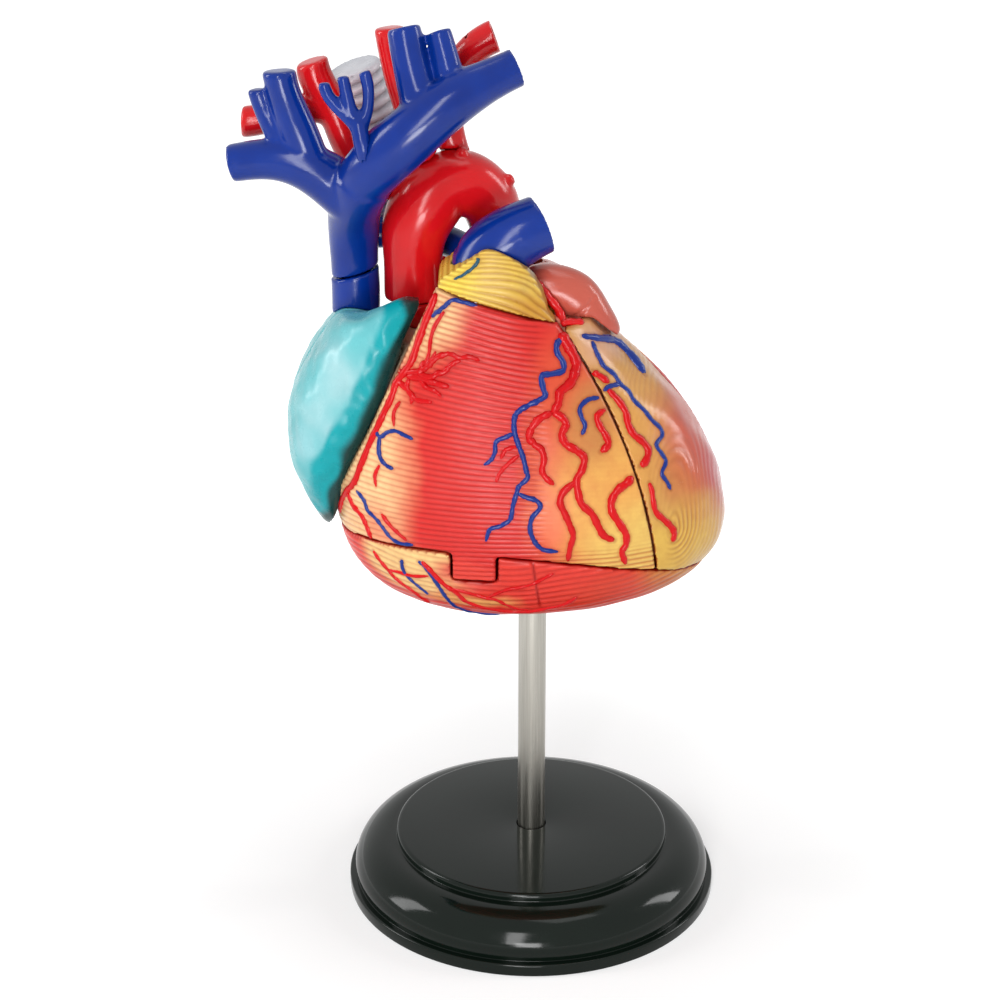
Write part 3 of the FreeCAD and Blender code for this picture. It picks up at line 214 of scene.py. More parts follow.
def note(mesh, name, values):
    """Keep one value for each vertex, for the paint to read."""
    mesh.attributes.new(name, "FLOAT", "POINT").data.foreach_set("value", values.astype(np.float32))


def push(mesh, places, ways, height, groove=None):
    """Move vertices along their normals or other ways by height (mm) and note where the grooves are."""
    moved = (places + ways * height[:, None]) * MM
    mesh.vertices.foreach_set("co", moved.astype(np.float32).ravel())
    if groove is not None:
        note(mesh, "groove", groove)
    mesh.update()


def divide(piece, mask):
    """Divide the edges where mask is true at both ends, for finer ridges."""
    with editing(piece.data) as work:
        edges = [e for e in work.edges if mask[e.verts[0].index] and mask[e.verts[1].index]]
        bmesh.ops.subdivide_edges(work, edges=edges, cuts=1, use_grid_fill=True, smooth=0.0)
        bmesh.ops.triangulate(work, faces=[f for f in work.faces if len(f.verts) > 4])


def lumps(places, size, seed):
    """Smooth random lumps of about that size (mm), from -1 to 1."""
    draw = np.random.default_rng(seed)
    total = np.zeros(len(places))
    count = 7
    for _ in range(count):
        way = draw.normal(size=3)
        way /= np.linalg.norm(way)
        pitch = size * draw.uniform(1.2, 2.4)
        total += np.sin(places @ way * (2 * math.pi / pitch) + draw.uniform(0, 2 * math.pi))
    gain = 1.6
    return total / count * gain


def ramp(values, low, high):
    """0 below low, 1 above high, smooth between."""
    t = np.clip((values - low) / (high - low), 0, 1)
    return t * t * (3 - 2 * t)


def outside(places, normals, centre, radii):
    """1 on a shell's outside, 0 on its inside and cut faces."""
    away = (places - np.array(centre)) / np.array(radii) ** 2
    away /= np.linalg.norm(away, axis=1)[:, None]
    return ramp((away * normals).sum(axis=1), 0.35, 0.7)


HEART_MIDDLE = (-2.0, -3.0, 112.0)
HEART_RADII = (44.0, 28.0, 42.0)


def finish_piece(piece, name, body, node, slot_name, material):
    """Name a finished piece, give it its material and put it on its body, in place of the solid if it has one."""
    mesh = piece.data
    piece.name = mesh.name = name
    mesh.polygons.foreach_set("use_smooth", [True] * len(mesh.polygons))
    mesh.materials.append(material)
    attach(piece, body)
    if node:
        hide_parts(node)
    return piece


# ---- materials
def add(tree, kind, inputs=None, **settings):
    """Add a shader node, set its properties, then set or link its inputs."""
    node = tree.nodes.new("ShaderNode" + kind)
    for name, value in settings.items():
        setattr(node, name, value)
    for socket, value in (inputs or {}).items():
        if isinstance(value, bpy.types.NodeSocket):
            tree.links.new(value, node.inputs[socket])
        else:
            node.inputs[socket].default_value = value
    return node


def new_material(name):
    """An empty material, its tree and a socket with each point's place."""
    material = bpy.data.materials.new(name)
    material.use_nodes = True
    tree = material.node_tree
    tree.nodes.clear()
    return material, tree, add(tree, "TexCoord").outputs["Object"]


def worked(tree, operation, *values, kind="VectorMath", output=0):
    """Result of one sum on vectors or, with kind Math, on numbers."""
    return add(tree, kind, dict(enumerate(values)), operation=operation).outputs[output]


def noise(tree, place, size, detail, roughness=0.5):
    """Random clouds of about that size (mm)."""
    inputs = {"Vector": place, "Scale": 1 / (size * MM), "Detail": detail, "Roughness": roughness}
    return add(tree, "TexNoise", inputs)


def spread(tree, value, low, high, first=0.0, last=1.0, smooth=False):
    """A value between low and high, brought to between first and last."""
    return add(tree, "MapRange", {0: value, 1: low, 2: high, 3: first, 4: last},
               interpolation_type="SMOOTHSTEP" if smooth else "LINEAR").outputs[0]


def attribute(tree, name):
    """The value that a mesh keeps for each vertex under that name."""
    return add(tree, "Attribute", attribute_name=name).outputs["Fac"]


def mixed(tree, factor, *pair, blend="MIX"):
    """Mix of a pair of colours, each of them a socket, a hex code or red, green and blue."""
    tints = []
    for tint in pair:
        if not isinstance(tint, bpy.types.NodeSocket):
            tint = (*(linear(tint) if isinstance(tint, str) else tint), 1.0)
        tints.append(tint)
    return add(tree, "Mix", {0: factor, 6: tints[0], 7: tints[1]}, data_type="RGBA", blend_type=blend).outputs[2]


def finished(material, tree, height, strength, depth, inputs):
    """Give the material its surface: those inputs and a fine bump of that depth (mm)."""
    relief = add(tree, "Bump", {"Height": height, "Strength": strength, "Distance": depth * MM})
    shader = add(tree, "BsdfPrincipled", {**inputs, "Normal": relief.outputs[0]})
    add(tree, "OutputMaterial", {"Surface": shader.outputs[0]})
    return material


def sprayed(tree, place, base, sprays):
    """Base paint with soft sprayed patches: (centre mm, radii mm, softness, hex, strength)."""
    paint = base
    for centre, radii, softness, code, strength in sprays:
        near = worked(tree, "SUBTRACT", place, tuple(c * MM for c in centre))
        scaled = worked(tree, "MULTIPLY", near, tuple(1 / (r * MM) for r in radii))
        reach = worked(tree, "LENGTH", scaled, output="Value")
        paint = mixed(tree, spread(tree, reach, 1 - softness, 1 + softness, strength, 0.0, smooth=True), paint, code)
    return paint


def painted_wall(name, base, sprays, mottle_and_groove_shade, roughness=0.33, bands=()):
    """Moulded PVC, airbrushed in several passes and satin lacquered.

    Soft-edged colour patches with a little unevenness, painted shade in the grooves, a thin even sheen.
    Bands are colours that follow the piece's own edge attribute: (where it starts, where it is full, colour).
    """
    material, tree, place = new_material(name)
    drift = noise(tree, place, 9, 2.0).outputs["Color"]
    centred = worked(tree, "SUBTRACT", drift, (0.5, 0.5, 0.5))
    wander = add(tree, "VectorMath", {0: centred, "Scale": 6 * MM}, operation="SCALE").outputs[0]
    paint = sprayed(tree, worked(tree, "ADD", place, wander), base, sprays)
    mottle = noise(tree, place, 2.6, 3.0, 0.6).outputs["Fac"]
    paint = mixed(tree, spread(tree, mottle, 0.35, 0.75, 0.0, 0.22), paint, mottle_and_groove_shade)
    for begins, full, tint in bands:
        paint = mixed(tree, spread(tree, attribute(tree, "edge"), begins, full, smooth=True), paint, tint)
    # Painted shade: where the groove value is high, the paint is multiplied by the darker tint.
    depth = worked(tree, "MULTIPLY", attribute(tree, "groove"), 0.62, kind="Math")
    paint = mixed(tree, depth, paint, mixed(tree, 1.0, paint, mottle_and_groove_shade, blend="MULTIPLY"))
    grit = noise(tree, place, 0.6, 2.0).outputs["Fac"]
    return finished(material, tree, grit, 0.12, 0.06, {
        "Base Color": paint, "Roughness": spread(tree, mottle, 0.3, 0.7, roughness - 0.05, roughness + 0.08),
        "IOR": 1.5, "Specular IOR Level": 0.28})


def gloss_plastic(name, base, shade, roughness=0.16, gloss=0.32, bore=None):
    """Moulded and lacquered plastic: even colour, sharp highlights, faint orange peel.

    Inside open ends a dark colour is painted in as shade.
    """
    material, tree, place = new_material(name)
    cloud = noise(tree, place, 14, 3.0, 0.55).outputs["Fac"]
    paint = mixed(tree, spread(tree, cloud, 0.38, 0.7, 0.0, 0.5), base, shade)
    # Painted shade: the dark bore colour where the hollow attribute marks the inside of an open end.
    if bore:
        paint = mixed(tree, attribute(tree, "hollow"), paint, bore)
    wear = noise(tree, place, 3, 4.0, 0.65).outputs["Fac"]
    peel = noise(tree, place, 1.6, 1.0).outputs["Fac"]
    return finished(material, tree, peel, 0.08, 0.05, {
        "Base Color": paint, "Roughness": spread(tree, wear, 0.35, 0.75, roughness, roughness + 0.09),
        "IOR": 1.5, "Specular IOR Level": gloss})


def drawn_steel(name, base):
    """Drawn steel tube, satin finished along its length: fine upright streaks and a stretched highlight."""
    material, tree, place = new_material(name)
    stretched = add(tree, "Mapping", {"Vector": place, "Scale": (1.0, 1.0, 0.02)}).outputs[0]
    streak = noise(tree, stretched, 0.35, 3.0).outputs["Fac"]
    return finished(material, tree, streak, 0.1, 0.02, {
        "Base Color": mixed(tree, streak, base, "#8F8C84"), "Metallic": 1.0,
        "Roughness": spread(tree, streak, 0.3, 0.7, 0.26, 0.4)})


def matt_backing(name):
    """Pressed fibreboard disc, dull black, with a short fibrous grain."""
    material, tree, place = new_material(name)
    fibre = noise(tree, place, 0.8, 5.0, 0.7).outputs["Fac"]
    return finished(material, tree, fibre, 0.4, 0.1, {
        "Base Color": mixed(tree, fibre, "#161616", "#2A2826"), "Roughness": 0.85})


# ---- coronary vessels in relief
# Each vessel: its width at the start and at the end, as parts of the set radius, and its points from the front,
# x and z in millimetres.
FRONT_ARTERIES = (
    (1.1, 0.85, (
        (-20.6, 149), (-21.8, 145.8), (-23, 142.8), (-24.4, 139), (-25.6, 135.6), (-27.4, 132.8), (-28.9, 130.8),
        (-30, 127.5), (-31.5, 124.4), (-33.1, 120.8), (-34.6, 117.6), (-36.9, 111.8), (-38.2, 108.2), (-40, 105.2),
        (-41.4, 101.8), (-42.2, 97.4))),
    (0.9, 0.8, ((-39.8, 104.6), (-38.7, 102.2), (-36.8, 100.4), (-35.8, 98.2), (-34.7, 94.8))),
    (1, 0.5, (
        (-26.8, 133.2), (-24.3, 133.6), (-22.2, 135), (-20.4, 136.8), (-18, 137.7), (-15.6, 137.1), (-13.5, 137.3),
        (-11.5, 136.6))),
    (0.9, 0.6, ((-24.8, 133.6), (-22.2, 132.7), (-20.1, 133.7), (-18.7, 134.2), (-17.2, 135.8), (-15.4, 136.5))),
    (1.1, 0.6, ((-26.6, 132.4), (-24, 132.6), (-21.4, 132), (-19.3, 131.5), (-17.8, 131.3))),
    (0.9, 0.6, ((-28.7, 131.4), (-26.4, 129.7), (-25.1, 128.3), (-23.5, 127.9), (-21.4, 127.9))),
    (1.7, 1, (
        (5.2, 141.2), (6.4, 139), (7.6, 137), (8.4, 134.9), (7.9, 133), (7, 131.5), (5, 130.1), (4.6, 127.9),
        (3.3, 126.3))),
    (1.05, 0.75, (
        (3.3, 126.3), (0.8, 125.2), (-0.8, 123.4), (-1.4, 121.3), (-0.4, 120.1), (1.2, 118.8), (1.7, 116.8),
        (1.3, 114.7), (2.1, 113.1), (3.8, 111.6))),
    (1.1, 0.95, (
        (3.4, 126.3), (5, 125.5), (6.2, 123.9), (5.4, 121.9), (6.2, 119.9), (8.3, 118.5), (10, 116.8), (9.6, 114.4),
        (8.5, 112.4), (8.8, 109.8), (9.6, 107.2), (11.8, 104.9), (13.1, 102.2), (14.4, 99.9), (16.5, 98.7))),
    (1, 0.75, (
        (8.5, 112.2), (5.8, 110), (5.1, 107.7), (6.1, 105.3), (7.2, 102.6), (7.9, 100.2), (7.3, 97.4),
        (6.9, 94.2))),
    (0.8, 1.05, ((14.4, 125.8), (12.7, 124.8), (13.3, 122.8), (14.6, 120.7), (15, 119), (13.5, 117.7))),
    (1.25, 0.85, (
        (20.3, 111.9), (18.9, 110.7), (17.2, 109.6), (15.9, 107.6), (16, 105.1), (17.7, 102.2), (19, 99.8),
        (19.1, 97.5), (18.3, 95.6), (19.2, 92.6))),
)
FRONT_FINE_ARTERIES = (
    (0.9, 0.6, ((-26.6, 132.9), (-28.4, 133.6), (-29.6, 135), (-30, 136.6))),
    (0.8, 0.5, ((-26.8, 132.6), (-28.9, 132.7), (-30.6, 132), (-31.6, 130.4))),
    (0.8, 0.5, ((-26.2, 132), (-26.6, 130.2), (-25.6, 128.6), (-25.8, 127))),
    (0.7, 0.5, ((-24, 133.6), (-23.2, 135.4), (-21.4, 136.4), (-20.6, 138))),
    (0.7, 0.5, ((-24, 132.4), (-22.6, 130.8), (-20.8, 130.2), (-19.4, 129.2))),
    (0.6, 0.5, ((-3.5, 117.8), (-5.7, 116), (-7.4, 114.1), (-8.2, 112.2))),
    (0.6, 0.5, ((-4, 119.6), (-6.2, 118.9), (-7.2, 117))),
    (0.6, 0.5, ((-28.1, 127.2), (-29.4, 124.8), (-29.4, 122))),
    (0.6, 0.5, ((-18.8, 145.9), (-20.6, 143.2), (-21.6, 140.4), (-22, 137.4), (-23, 134.6))),
    (0.6, 0.5, ((-32.6, 113.4), (-33.6, 111), (-33.4, 108.6))),
    (0.6, 0.5, ((-35, 117), (-36.4, 113.6), (-36.6, 111))),
    (0.7, 0.5, ((-32.4, 102.6), (-30.8, 100.4), (-28.6, 98.4), (-27, 97.2))),
)
FRONT_VEINS = (
    (0.8, 0.7, ((-33.6, 120.6), (-32.5, 119.2), (-30.7, 120.6), (-29, 121.1), (-27.3, 120.6), (-25.4, 120))),
    (1, 0.7, ((-32.5, 119.2), (-32.7, 116.5), (-32.2, 114.6), (-31, 113.6), (-29.6, 113.2))),
    (0.9, 0.7, (
        (-21.4, 144.6), (-20, 145.8), (-18.6, 147), (-17.2, 148.2), (-14.9, 147.9), (-12.4, 147.4), (-9.7, 146.9))),
    (0.9, 0.7, (
        (-37.8, 106.2), (-36.2, 104.7), (-35.4, 102.4), (-33.6, 100.9), (-31.9, 98.8), (-30.6, 97.2), (-28.6, 96.2),
        (-25.7, 96.4))),
    (1.15, 0.8, (
        (6.6, 139.2), (5.4, 139.8), (4.4, 139.2), (4.4, 137.6), (5.6, 135.7), (5.6, 134.1), (3.3, 133.7),
        (1.2, 133.5), (1.5, 131.1), (1.9, 129.6), (0, 128.5), (-2.4, 127.4), (-4.1, 126.1), (-4.5, 124.2),
        (-4.3, 122.2), (-3.5, 119.7), (-2.6, 117.3), (-2, 114.8), (-1.7, 113.1), (-3.4, 111.4), (-3.9, 110),
        (-4.7, 107.1), (-5.3, 104.1), (-7.4, 102.6), (-9.5, 101.7), (-10.3, 99))),
    (0.9, 0.7, ((-4.5, 122.2), (-6.5, 121.4), (-8.2, 120.5), (-8.4, 118.5), (-9.2, 116.8), (-10.7, 115.7))),
    (0.9, 0.9, (
        (-3.7, 109.8), (-1.6, 108.9), (0.5, 108), (0.9, 106.6), (-0.7, 104.5), (-1.1, 101.8), (-0.1, 99),
        (1.6, 97.2), (4.8, 96.6))),
    (0.9, 0.8, ((13.1, 128.2), (10.8, 128.1), (9.1, 126.7), (9.5, 124.8), (10.2, 123.2), (9.5, 121.5))),
)
SIDE_ARTERIES = (
    (0.9, 1, ((11.9, 133), (13.4, 132), (15.3, 130.6))),
    (1, 1.15, (
        (15, 129.4), (17.2, 127.1), (18.8, 124.6), (19.3, 122.3), (20.5, 120.2), (22.3, 118.6), (23.6, 116.6),
        (23.1, 114.7), (21.9, 113.9))),
    (0.7, 1, (
        (23.8, 110.1), (24.4, 108.5), (24.7, 106.4), (25.4, 103.7), (27.2, 101.6), (28.5, 100.1), (29.5, 98.2),
        (29.3, 96.1))),
)
SIDE_VEINS = (
    (1, 0.8, (
        (11.8, 138.2), (12.6, 136.4), (13.4, 134.9), (14.3, 133.5), (16.4, 131.7), (17.6, 129.9), (19.4, 128.2),
        (20.6, 126.3), (22.8, 124), (24.5, 121.8), (26.3, 119.9), (26.7, 118.4), (25.4, 117.1), (26.6, 115.1),
        (27.5, 113.3), (26.6, 111.3), (27.7, 109.4), (28.6, 107.6))),
    (1, 0.8, ((17.6, 129.8), (15.5, 129.9), (14, 129.3))),
)
SIDE_BAND = (
    (1, 2.6, ((9.6, 139.6), (11.6, 138.9), (13.8, 137.9), (16, 136.6), (18.4, 134.6), (21, 131.9), (23.2, 129.4))),
)
LOWER_VEINS = (
    (0.8, 0.6, ((-28.2, 92), (-28.3, 90.6), (-27.7, 88.4), (-25.9, 86.3), (-23.8, 84.3), (-22.8, 83.2))),
    (0.8, 0.8, (
        (-24.7, 92.4), (-23.3, 91.2), (-21.6, 88.4), (-20.2, 85.7), (-18.8, 82.7), (-16.8, 79.3), (-13.9, 77.1),
        (-11, 76), (-7.4, 75.7))),
)
LOWER_ARTERIES = (
    (0.6, 0.7, (
        (-34.5, 92.4), (-34, 91.4), (-33.1, 90.1), (-31.4, 88.1), (-30, 86.3), (-28.2, 84.8), (-26.1, 83.2),
        (-24.3, 81.2), (-22.6, 79.6))),
    (0.6, 0.5, ((-31.4, 88.1), (-29.2, 88.3), (-25.9, 88.1), (-22.6, 88.8))),
    (0.8, 0.6, (
        (-24, 92.4), (-22.6, 91), (-20.8, 88.7), (-19.1, 86.8), (-16.6, 84.7), (-14.5, 82.1), (-10.2, 80),
        (-5.9, 78.8), (-1.2, 79), (4.1, 80.9), (6.9, 82.2), (9, 84.3))),
    (0.6, 0.5, ((-17.7, 86), (-13.8, 85), (-10.2, 83.8), (-8.1, 83.3), (-4.9, 80.9), (-1.3, 79.5))),
    (0.5, 0.5, ((-9.9, 84), (-8.1, 85.3), (-5.6, 86.7), (-3.1, 87.3), (-0.3, 88.3), (1.8, 89.7), (3.9, 91))),
)
COLLAR_VEINS = (
    (0.7, 0.5, ((-11.9, 157), (-11.9, 156.2), (-13, 154.8), (-14.9, 153.3), (-16.8, 152.3))),
)
# Where the rays start (metres), in front of the whole heart.
FAR_FRONT = -0.2


def smooth_route(route, steps=6):
    """Points along a smooth line through the route's own points."""
    ends = [route[0]] + list(route) + [route[-1]]
    line = []
    for a, b, c, d in zip(ends, ends[1:], ends[2:], ends[3:]):
        for i in range(steps):
            t = i / steps
            line.append(tuple(
                0.5 * (2 * q + (r - p) * t + (2 * p - 5 * q + 4 * r - s) * t ** 2 + (3 * q - p - 3 * r + s) * t ** 3)
                for p, q, r, s in zip(a, b, c, d)))
    line.append(tuple(route[-1]))
    return line


def relief_vessels(name, wall, routes, body, lacquer, sink=0.3):
    """Round, slightly knobbly ribs along routes on a wall's front, each sunk a little into it.

    The wall's paint gets a band of painted shade at their feet.
    """
    surface = BVHTree.FromObject(wall, bpy.context.evaluated_depsgraph_get())
    radius = lacquer[0]
    lines = []
    foot = []
    for number, (start, end, route) in enumerate(routes):
        hits = []
        for x, z in smooth_route(route):
            place, normal, _, _ = surface.ray_cast(Vector((x * MM, FAR_FRONT, z * MM)), Vector((0, 1, 0)))
            if place is not None:
                hits.append((place, normal))
        line = []
        for i, (place, normal) in enumerate(hits):
            width = knobbly_width(i, len(hits) - 1, start, end, number)
            line.append((place - normal * radius * sink * width, width))
            foot.append((place, radius * width))
        lines.append(line)
    paint_shade_at_feet(wall.data, foot)
    tubes(name, lines, body, lacquer)


def knobbly_width(i, last, start, end, number):
    """Width at one point of a vessel: an even taper, small knobs and rounded ends."""
    along = i / max(last, 1)
    knob = 1 + 0.09 * math.sin(0.9 * i + number) + 0.06 * math.sin(2.3 * i + 2 * number)
    tip = min(1, 0.5 + i * 0.17) * min(1, 0.4 + (last - i) * 0.25)
    return (start + (end - start) * along) * knob * tip


def tubes(name, lines, body, lacquer):
    """One piece of round tubes along lines of (place, width); a lacquer is a radius, a material and a slot."""
    radius, material, slot_name = lacquer
    curve = bpy.data.curves.new(name, "CURVE")
    curve.dimensions = "3D"
    curve.bevel_depth = radius
    curve.bevel_resolution = 3
    curve.use_fill_caps = True
    for line in lines:
        spline = curve.splines.new("POLY")
        spline.points.add(len(line) - 1)
        for point, (place, width) in zip(spline.points, line):
            point.co = (*place, 1)
            point.radius = width
    holder = link(name + "_line", curve)
    mesh = evaluated(holder)
    bpy.data.objects.remove(holder)
    bpy.data.curves.remove(curve)
    with editing(mesh) as work:
        bmesh.ops.remove_doubles(work, verts=work.verts, dist=0.01 * MM)
        bmesh.ops.recalc_face_normals(work, faces=work.faces)
    finish_piece(link(name, mesh), name, body, None, slot_name, material)


def paint_shade_at_feet(mesh, foot, reach=0.55):
    """Raise the groove value in a narrow band beside each vessel, which the paint turns into painted shade at its
    foot.
    """
    tree = KDTree(len(foot))
    for i, (place, _) in enumerate(foot):
        tree.insert(place, i)
    tree.balance()
    groove = mesh.attributes["groove"].data
    for vertex in mesh.vertices:
        _, i, distance = tree.find(vertex.co)
        near = 1 - (distance - foot[i][1]) / (reach * MM)
        if near > 0:
            value = groove[vertex.index]
            value.value = max(value.value, 0.75 * min(near, 1))


# ---- ridged walls
def ridges(phase, sharpness=1.6):
    """0 on the crests and 1 at the bottoms of the grooves."""
    return (0.5 - 0.5 * np.cos(2 * math.pi * phase)) ** sharpness


def front_ridges(p, pitch):
    """Near-level ridges that follow the collar's slope higher up; none on the fat at the lower right."""
    slope = 0.29 * np.clip((p[:, 2] - 100) / 50, -0.1, 1)
    phase = (p[:, 2] + slope * (p[:, 0] + 21)) / pitch + 0.16 * lumps(p, 9, 4)
    smooth_zone = ramp(p[:, 0], -1.0, 3.0) * ramp(p[:, 2], 94.0, 98.0)
    left_zone = 0.35 * (1 - ramp(p[:, 0], -29.0, -22.0))
    return ridges(phase, 2.0) * (1 - 0.95 * smooth_zone) * (1 - left_zone)


def side_ridges(p, pitch):
    """Long loops round the apex, close together and faint away from it, none beside the vessels."""
    across, up = p[:, 0] - 29.5, (p[:, 2] - 99.0) / np.where(p[:, 2] > 99, 3.4, 1.5)
    reach = np.sqrt(across ** 2 + up ** 2)
    phase = reach / (pitch * 0.72) + 0.5 * lumps(p, 6, 9)
    apex = (1 - ramp(reach, 3.0, 8.0)) * (1 - ramp(p[:, 2], 100.0, 106.0))
    beside = ramp(p[:, 0] - 0.35 * (125 - p[:, 2]), 16.0, 23.0)
    patches = 0.6 + 0.4 * lumps(p, 9, 14)
    return ridges(phase, 1.3) * (0.3 * beside * patches + 0.75 * apex * ramp(p[:, 0], 27.0, 31.0))


def lower_ridges(p, pitch):
    """Hanging curves that rise to both ends."""
    phase = (p[:, 2] - 0.0055 * (p[:, 0] + 8) ** 2 + 0.15 * p[:, 1]) / (pitch * 1.15) + 0.3 * lumps(p, 10, 2)
    joint_line = p[:, 0] + 0.4 - 0.135 * (92.9 - p[:, 2])
    crack = np.exp(-(joint_line / 0.3) ** 2) * ramp(-p[:, 1], 10.0, 14.0) * ramp(p[:, 2], 80.0, 82.0)
    return np.maximum(ridges(phase) * (0.7 + 0.3 * lumps(p, 12, 3)), 1.6 * crack)


def back_ridges(p, pitch):
    phase = (p[:, 2] + 0.25 * p[:, 0] + 1.5 * lumps(p, 24, 5)) / pitch
    return ridges(phase) * (0.6 + 0.4 * lumps(p, 16, 6))


def collar_ridges(p, pitch):
    phase = (p[:, 2] + 0.33 * (p[:, 0] + 10) + 0.012 * (p[:, 0] + 8) ** 2) / (pitch * 0.86)
    return ridges(phase) * 0.9


def ridged_wall(node, grain, pattern, settings, unevenness):
    """A wall with grooves on its outside and a soft uneven inside; grooves and cut faces are noted for painted shade.
    """
    piece = remeshed(node, grain, 2)
    places, normals = points_of(piece.data)
    divide(piece, outside(places, normals, HEART_MIDDLE, HEART_RADII) > 0.3)
    places, normals = points_of(piece.data)
    skin = outside(places, normals, HEART_MIDDLE, HEART_RADII)
    groove = np.clip(pattern(places, settings.ridge_pitch / MM), 0, 1.6) * skin
    height = -groove * settings.ridge_depth / MM
    height += skin * unevenness * lumps(places, 7, 11)
    lining = outside(places, -normals, HEART_MIDDLE, HEART_RADII)
    height += lining * 0.22 * lumps(places, 3.4, 12)
    # Painted shade: the ridge grooves and, deeper still, the cut faces seen in the gaps between pieces are noted for
    # the paint to darken.
    cut_faces = (1 - skin) * (1 - lining)
    push(piece.data, places, normals, height, np.maximum(groove, 1.6 * cut_faces))
    return piece


# The collar's slanted upper edge, its left and right ends, and the foot of the artery beside it: x and z (mm).
COLLAR_LEFT = np.array((-12.8, 157.2))
COLLAR_RIGHT = np.array((4.0, 143.1))
ARTERY_FOOT = np.array((-21.0, 150.4))
FOOT_WAY = np.array((0.282, 0.959))


def fill_collar_edge(piece, swell=2.8, lumpy=0.5):
    """Bow the collar's slanted upper edge outwards in front of the trunk, with a lumpy lower end."""
    places, normals = points_of(piece.data)
    length_along = np.linalg.norm(COLLAR_RIGHT - COLLAR_LEFT)
    along = (COLLAR_RIGHT - COLLAR_LEFT) / length_along
    outward = np.array((-along[1], along[0]))
    from_left = places[:, (0, 2)] - COLLAR_LEFT
    share = np.clip(from_left @ along / length_along, 0, 1)
    below = -(from_left @ outward)
    over_foot = (places[:, (0, 2)] - ARTERY_FOOT) @ FOOT_WAY
    amount = swell * np.sin(math.pi * share ** 0.9) * (1 - ramp(below, 0.0, 6.0)) * ramp(-places[:, 1], 9.5, 14.0)
    amount *= ramp(over_foot, 0.2, 4.0)
    amount += lumpy * lumps(places, 2.6, 71) * ramp(share, 0.6, 0.8) * (1 - ramp(below, 0.5, 2.5))
    way = np.zeros_like(places)
    way[:, (0, 2)] = outward
    push(piece.data, places, way, amount)


# Sprayed patches: centre, radii, softness of the edge, colour, strength.
FRONT_SPRAYS = (
    ((-56, -20, 115), (29, 60, 52), 0.16, "#F2CA92", 1),
    ((-27, -20, 150), (13, 40, 14), 0.3, "#F2CC94", 1),
    ((7.5, -28, 113), (10.5, 60, 27), 0.28, "#DA5A3A", 0.95),
    ((16.5, -28, 106), (12.5, 60, 21), 0.4, "#E4A858", 1),
    ((11.5, -26, 124), (5.5, 60, 8), 0.6, "#BE8149", 0.8),
    ((22, -26, 96), (10, 60, 9), 0.5, "#E6C468", 0.9),
    ((3, -28, 104), (4, 60, 6), 0.6, "#EC7B58", 0.8),
    ((-14, -30, 90), (7, 30, 4), 0.4, "#E24438", 1),
    ((-33, -26, 99), (3, 30, 6), 0.7, "#E9604A", 0.5),
)
SIDE_SPRAYS = (
    ((21, -20, 118), (6, 60, 14), 0.6, "#DDA052", 0.8),
    ((43, -8, 120), (15.5, 60, 20), 0.4, "#CC4A3E", 0.95),
    ((47, -2, 106), (9.5, 60, 17), 0.45, "#BE2F50", 0.9),
    ((29, -20, 93), (13, 60, 9.5), 0.5, "#DDB24E", 0.95),
    ((16, -12, 138), (8, 40, 4), 0.6, "#DCA785", 0.9),
)
LOWER_SPRAYS = (
    ((-26, -24, 91.5), (13, 12, 8.5), 0.25, "#F2CB88", 1),
    ((-13, -23, 82.6), (9, 6, 2.4), 0.4, "#EDAE66", 0.9),
    ((-15, -27, 90), (6, 6, 3.4), 0.5, "#E2544A", 0.9),
    ((38, -10, 87), (16, 40, 10), 0.25, "#CF9148", 0.95),
    ((30, -17, 91), (8, 20, 4), 0.5, "#C99C4A", 0.7),
    ((20, -20, 84), (12, 40, 7), 0.6, "#CE4A2C", 0.5),
    ((0, 18, 86), (16, 14, 10), 0.5, "#EDBA70", 0.7),
)
COLLAR_SPRAYS = (
    ((-18, -18, 151), (6, 20, 6), 0.5, "#F4DA5C", 0.9),
    ((2, -18, 145), (9, 20, 5), 0.6, "#CC9438", 0.9),
    ((-2, -14, 152), (3, 5, 3), 0.6, "#A98B63", 0.9),
)
BACK_SPRAYS = (
    ((-30, 16, 118), (10, 40, 26), 0.4, "#F2CB88", 1),
    ((4, 24, 104), (5, 30, 30), 0.6, "#EDBA70", 0.8),
    ((0, 20, 132), (40, 30, 5), 0.6, "#F2CB88", 0.9),
    ((36, 6, 104), (10, 30, 20), 0.5, "#B52F46", 0.8),
)
# Each wall: its name, body, solid, slot, share of the set mesh size, ridges, unevenness (mm), base colour (the set
# muscle red if there is none), sprays, a darker tint for the mottle and the painted shade in the grooves, roughness,
# and the vessels on it: what they are, lacquer, routes.
WALLS = (
    ("front_wall", "front_wall", "right_ventricle_front_wall", "muscle_red", 0.86, front_ridges, 0.12,
     None, FRONT_SPRAYS, "#B82A20", 0.33,
     (("arteries", "artery", FRONT_ARTERIES), ("fine_arteries", "artery", FRONT_FINE_ARTERIES),
      ("veins", "vein", FRONT_VEINS))),
    ("side_wall", "side_wall", "left_ventricle_side_wall", "muscle_yellow", 0.86, side_ridges, 0.3,
     "#CB9650", SIDE_SPRAYS, "#A8582F", 0.2,
     (("arteries", "artery", SIDE_ARTERIES), ("veins", "vein", SIDE_VEINS), ("vein_band", "vein", SIDE_BAND))),
    ("lower_wall", "lower_heart", "lower_heart_wall", "muscle_red", 1.12, lower_ridges, 0.12,
     "#E23C30", LOWER_SPRAYS, "#A8281E", 0.33,
     (("arteries", "artery", LOWER_ARTERIES), ("veins", "vein", LOWER_VEINS))),
    ("back_wall", "back_wall", "ventricle_back_wall", "muscle_red", 1.0, back_ridges, 0.3,
     "#D8352A", BACK_SPRAYS, "#A8281E", 0.33, ()),
    ("collar", "core", "fat_collar", "fat_yellow", 0.7, collar_ridges, 0.12,
     "#E2BD54", COLLAR_SPRAYS, "#AC7A28", 0.3, (("vein", "collar vein", COLLAR_VEINS),)),
)


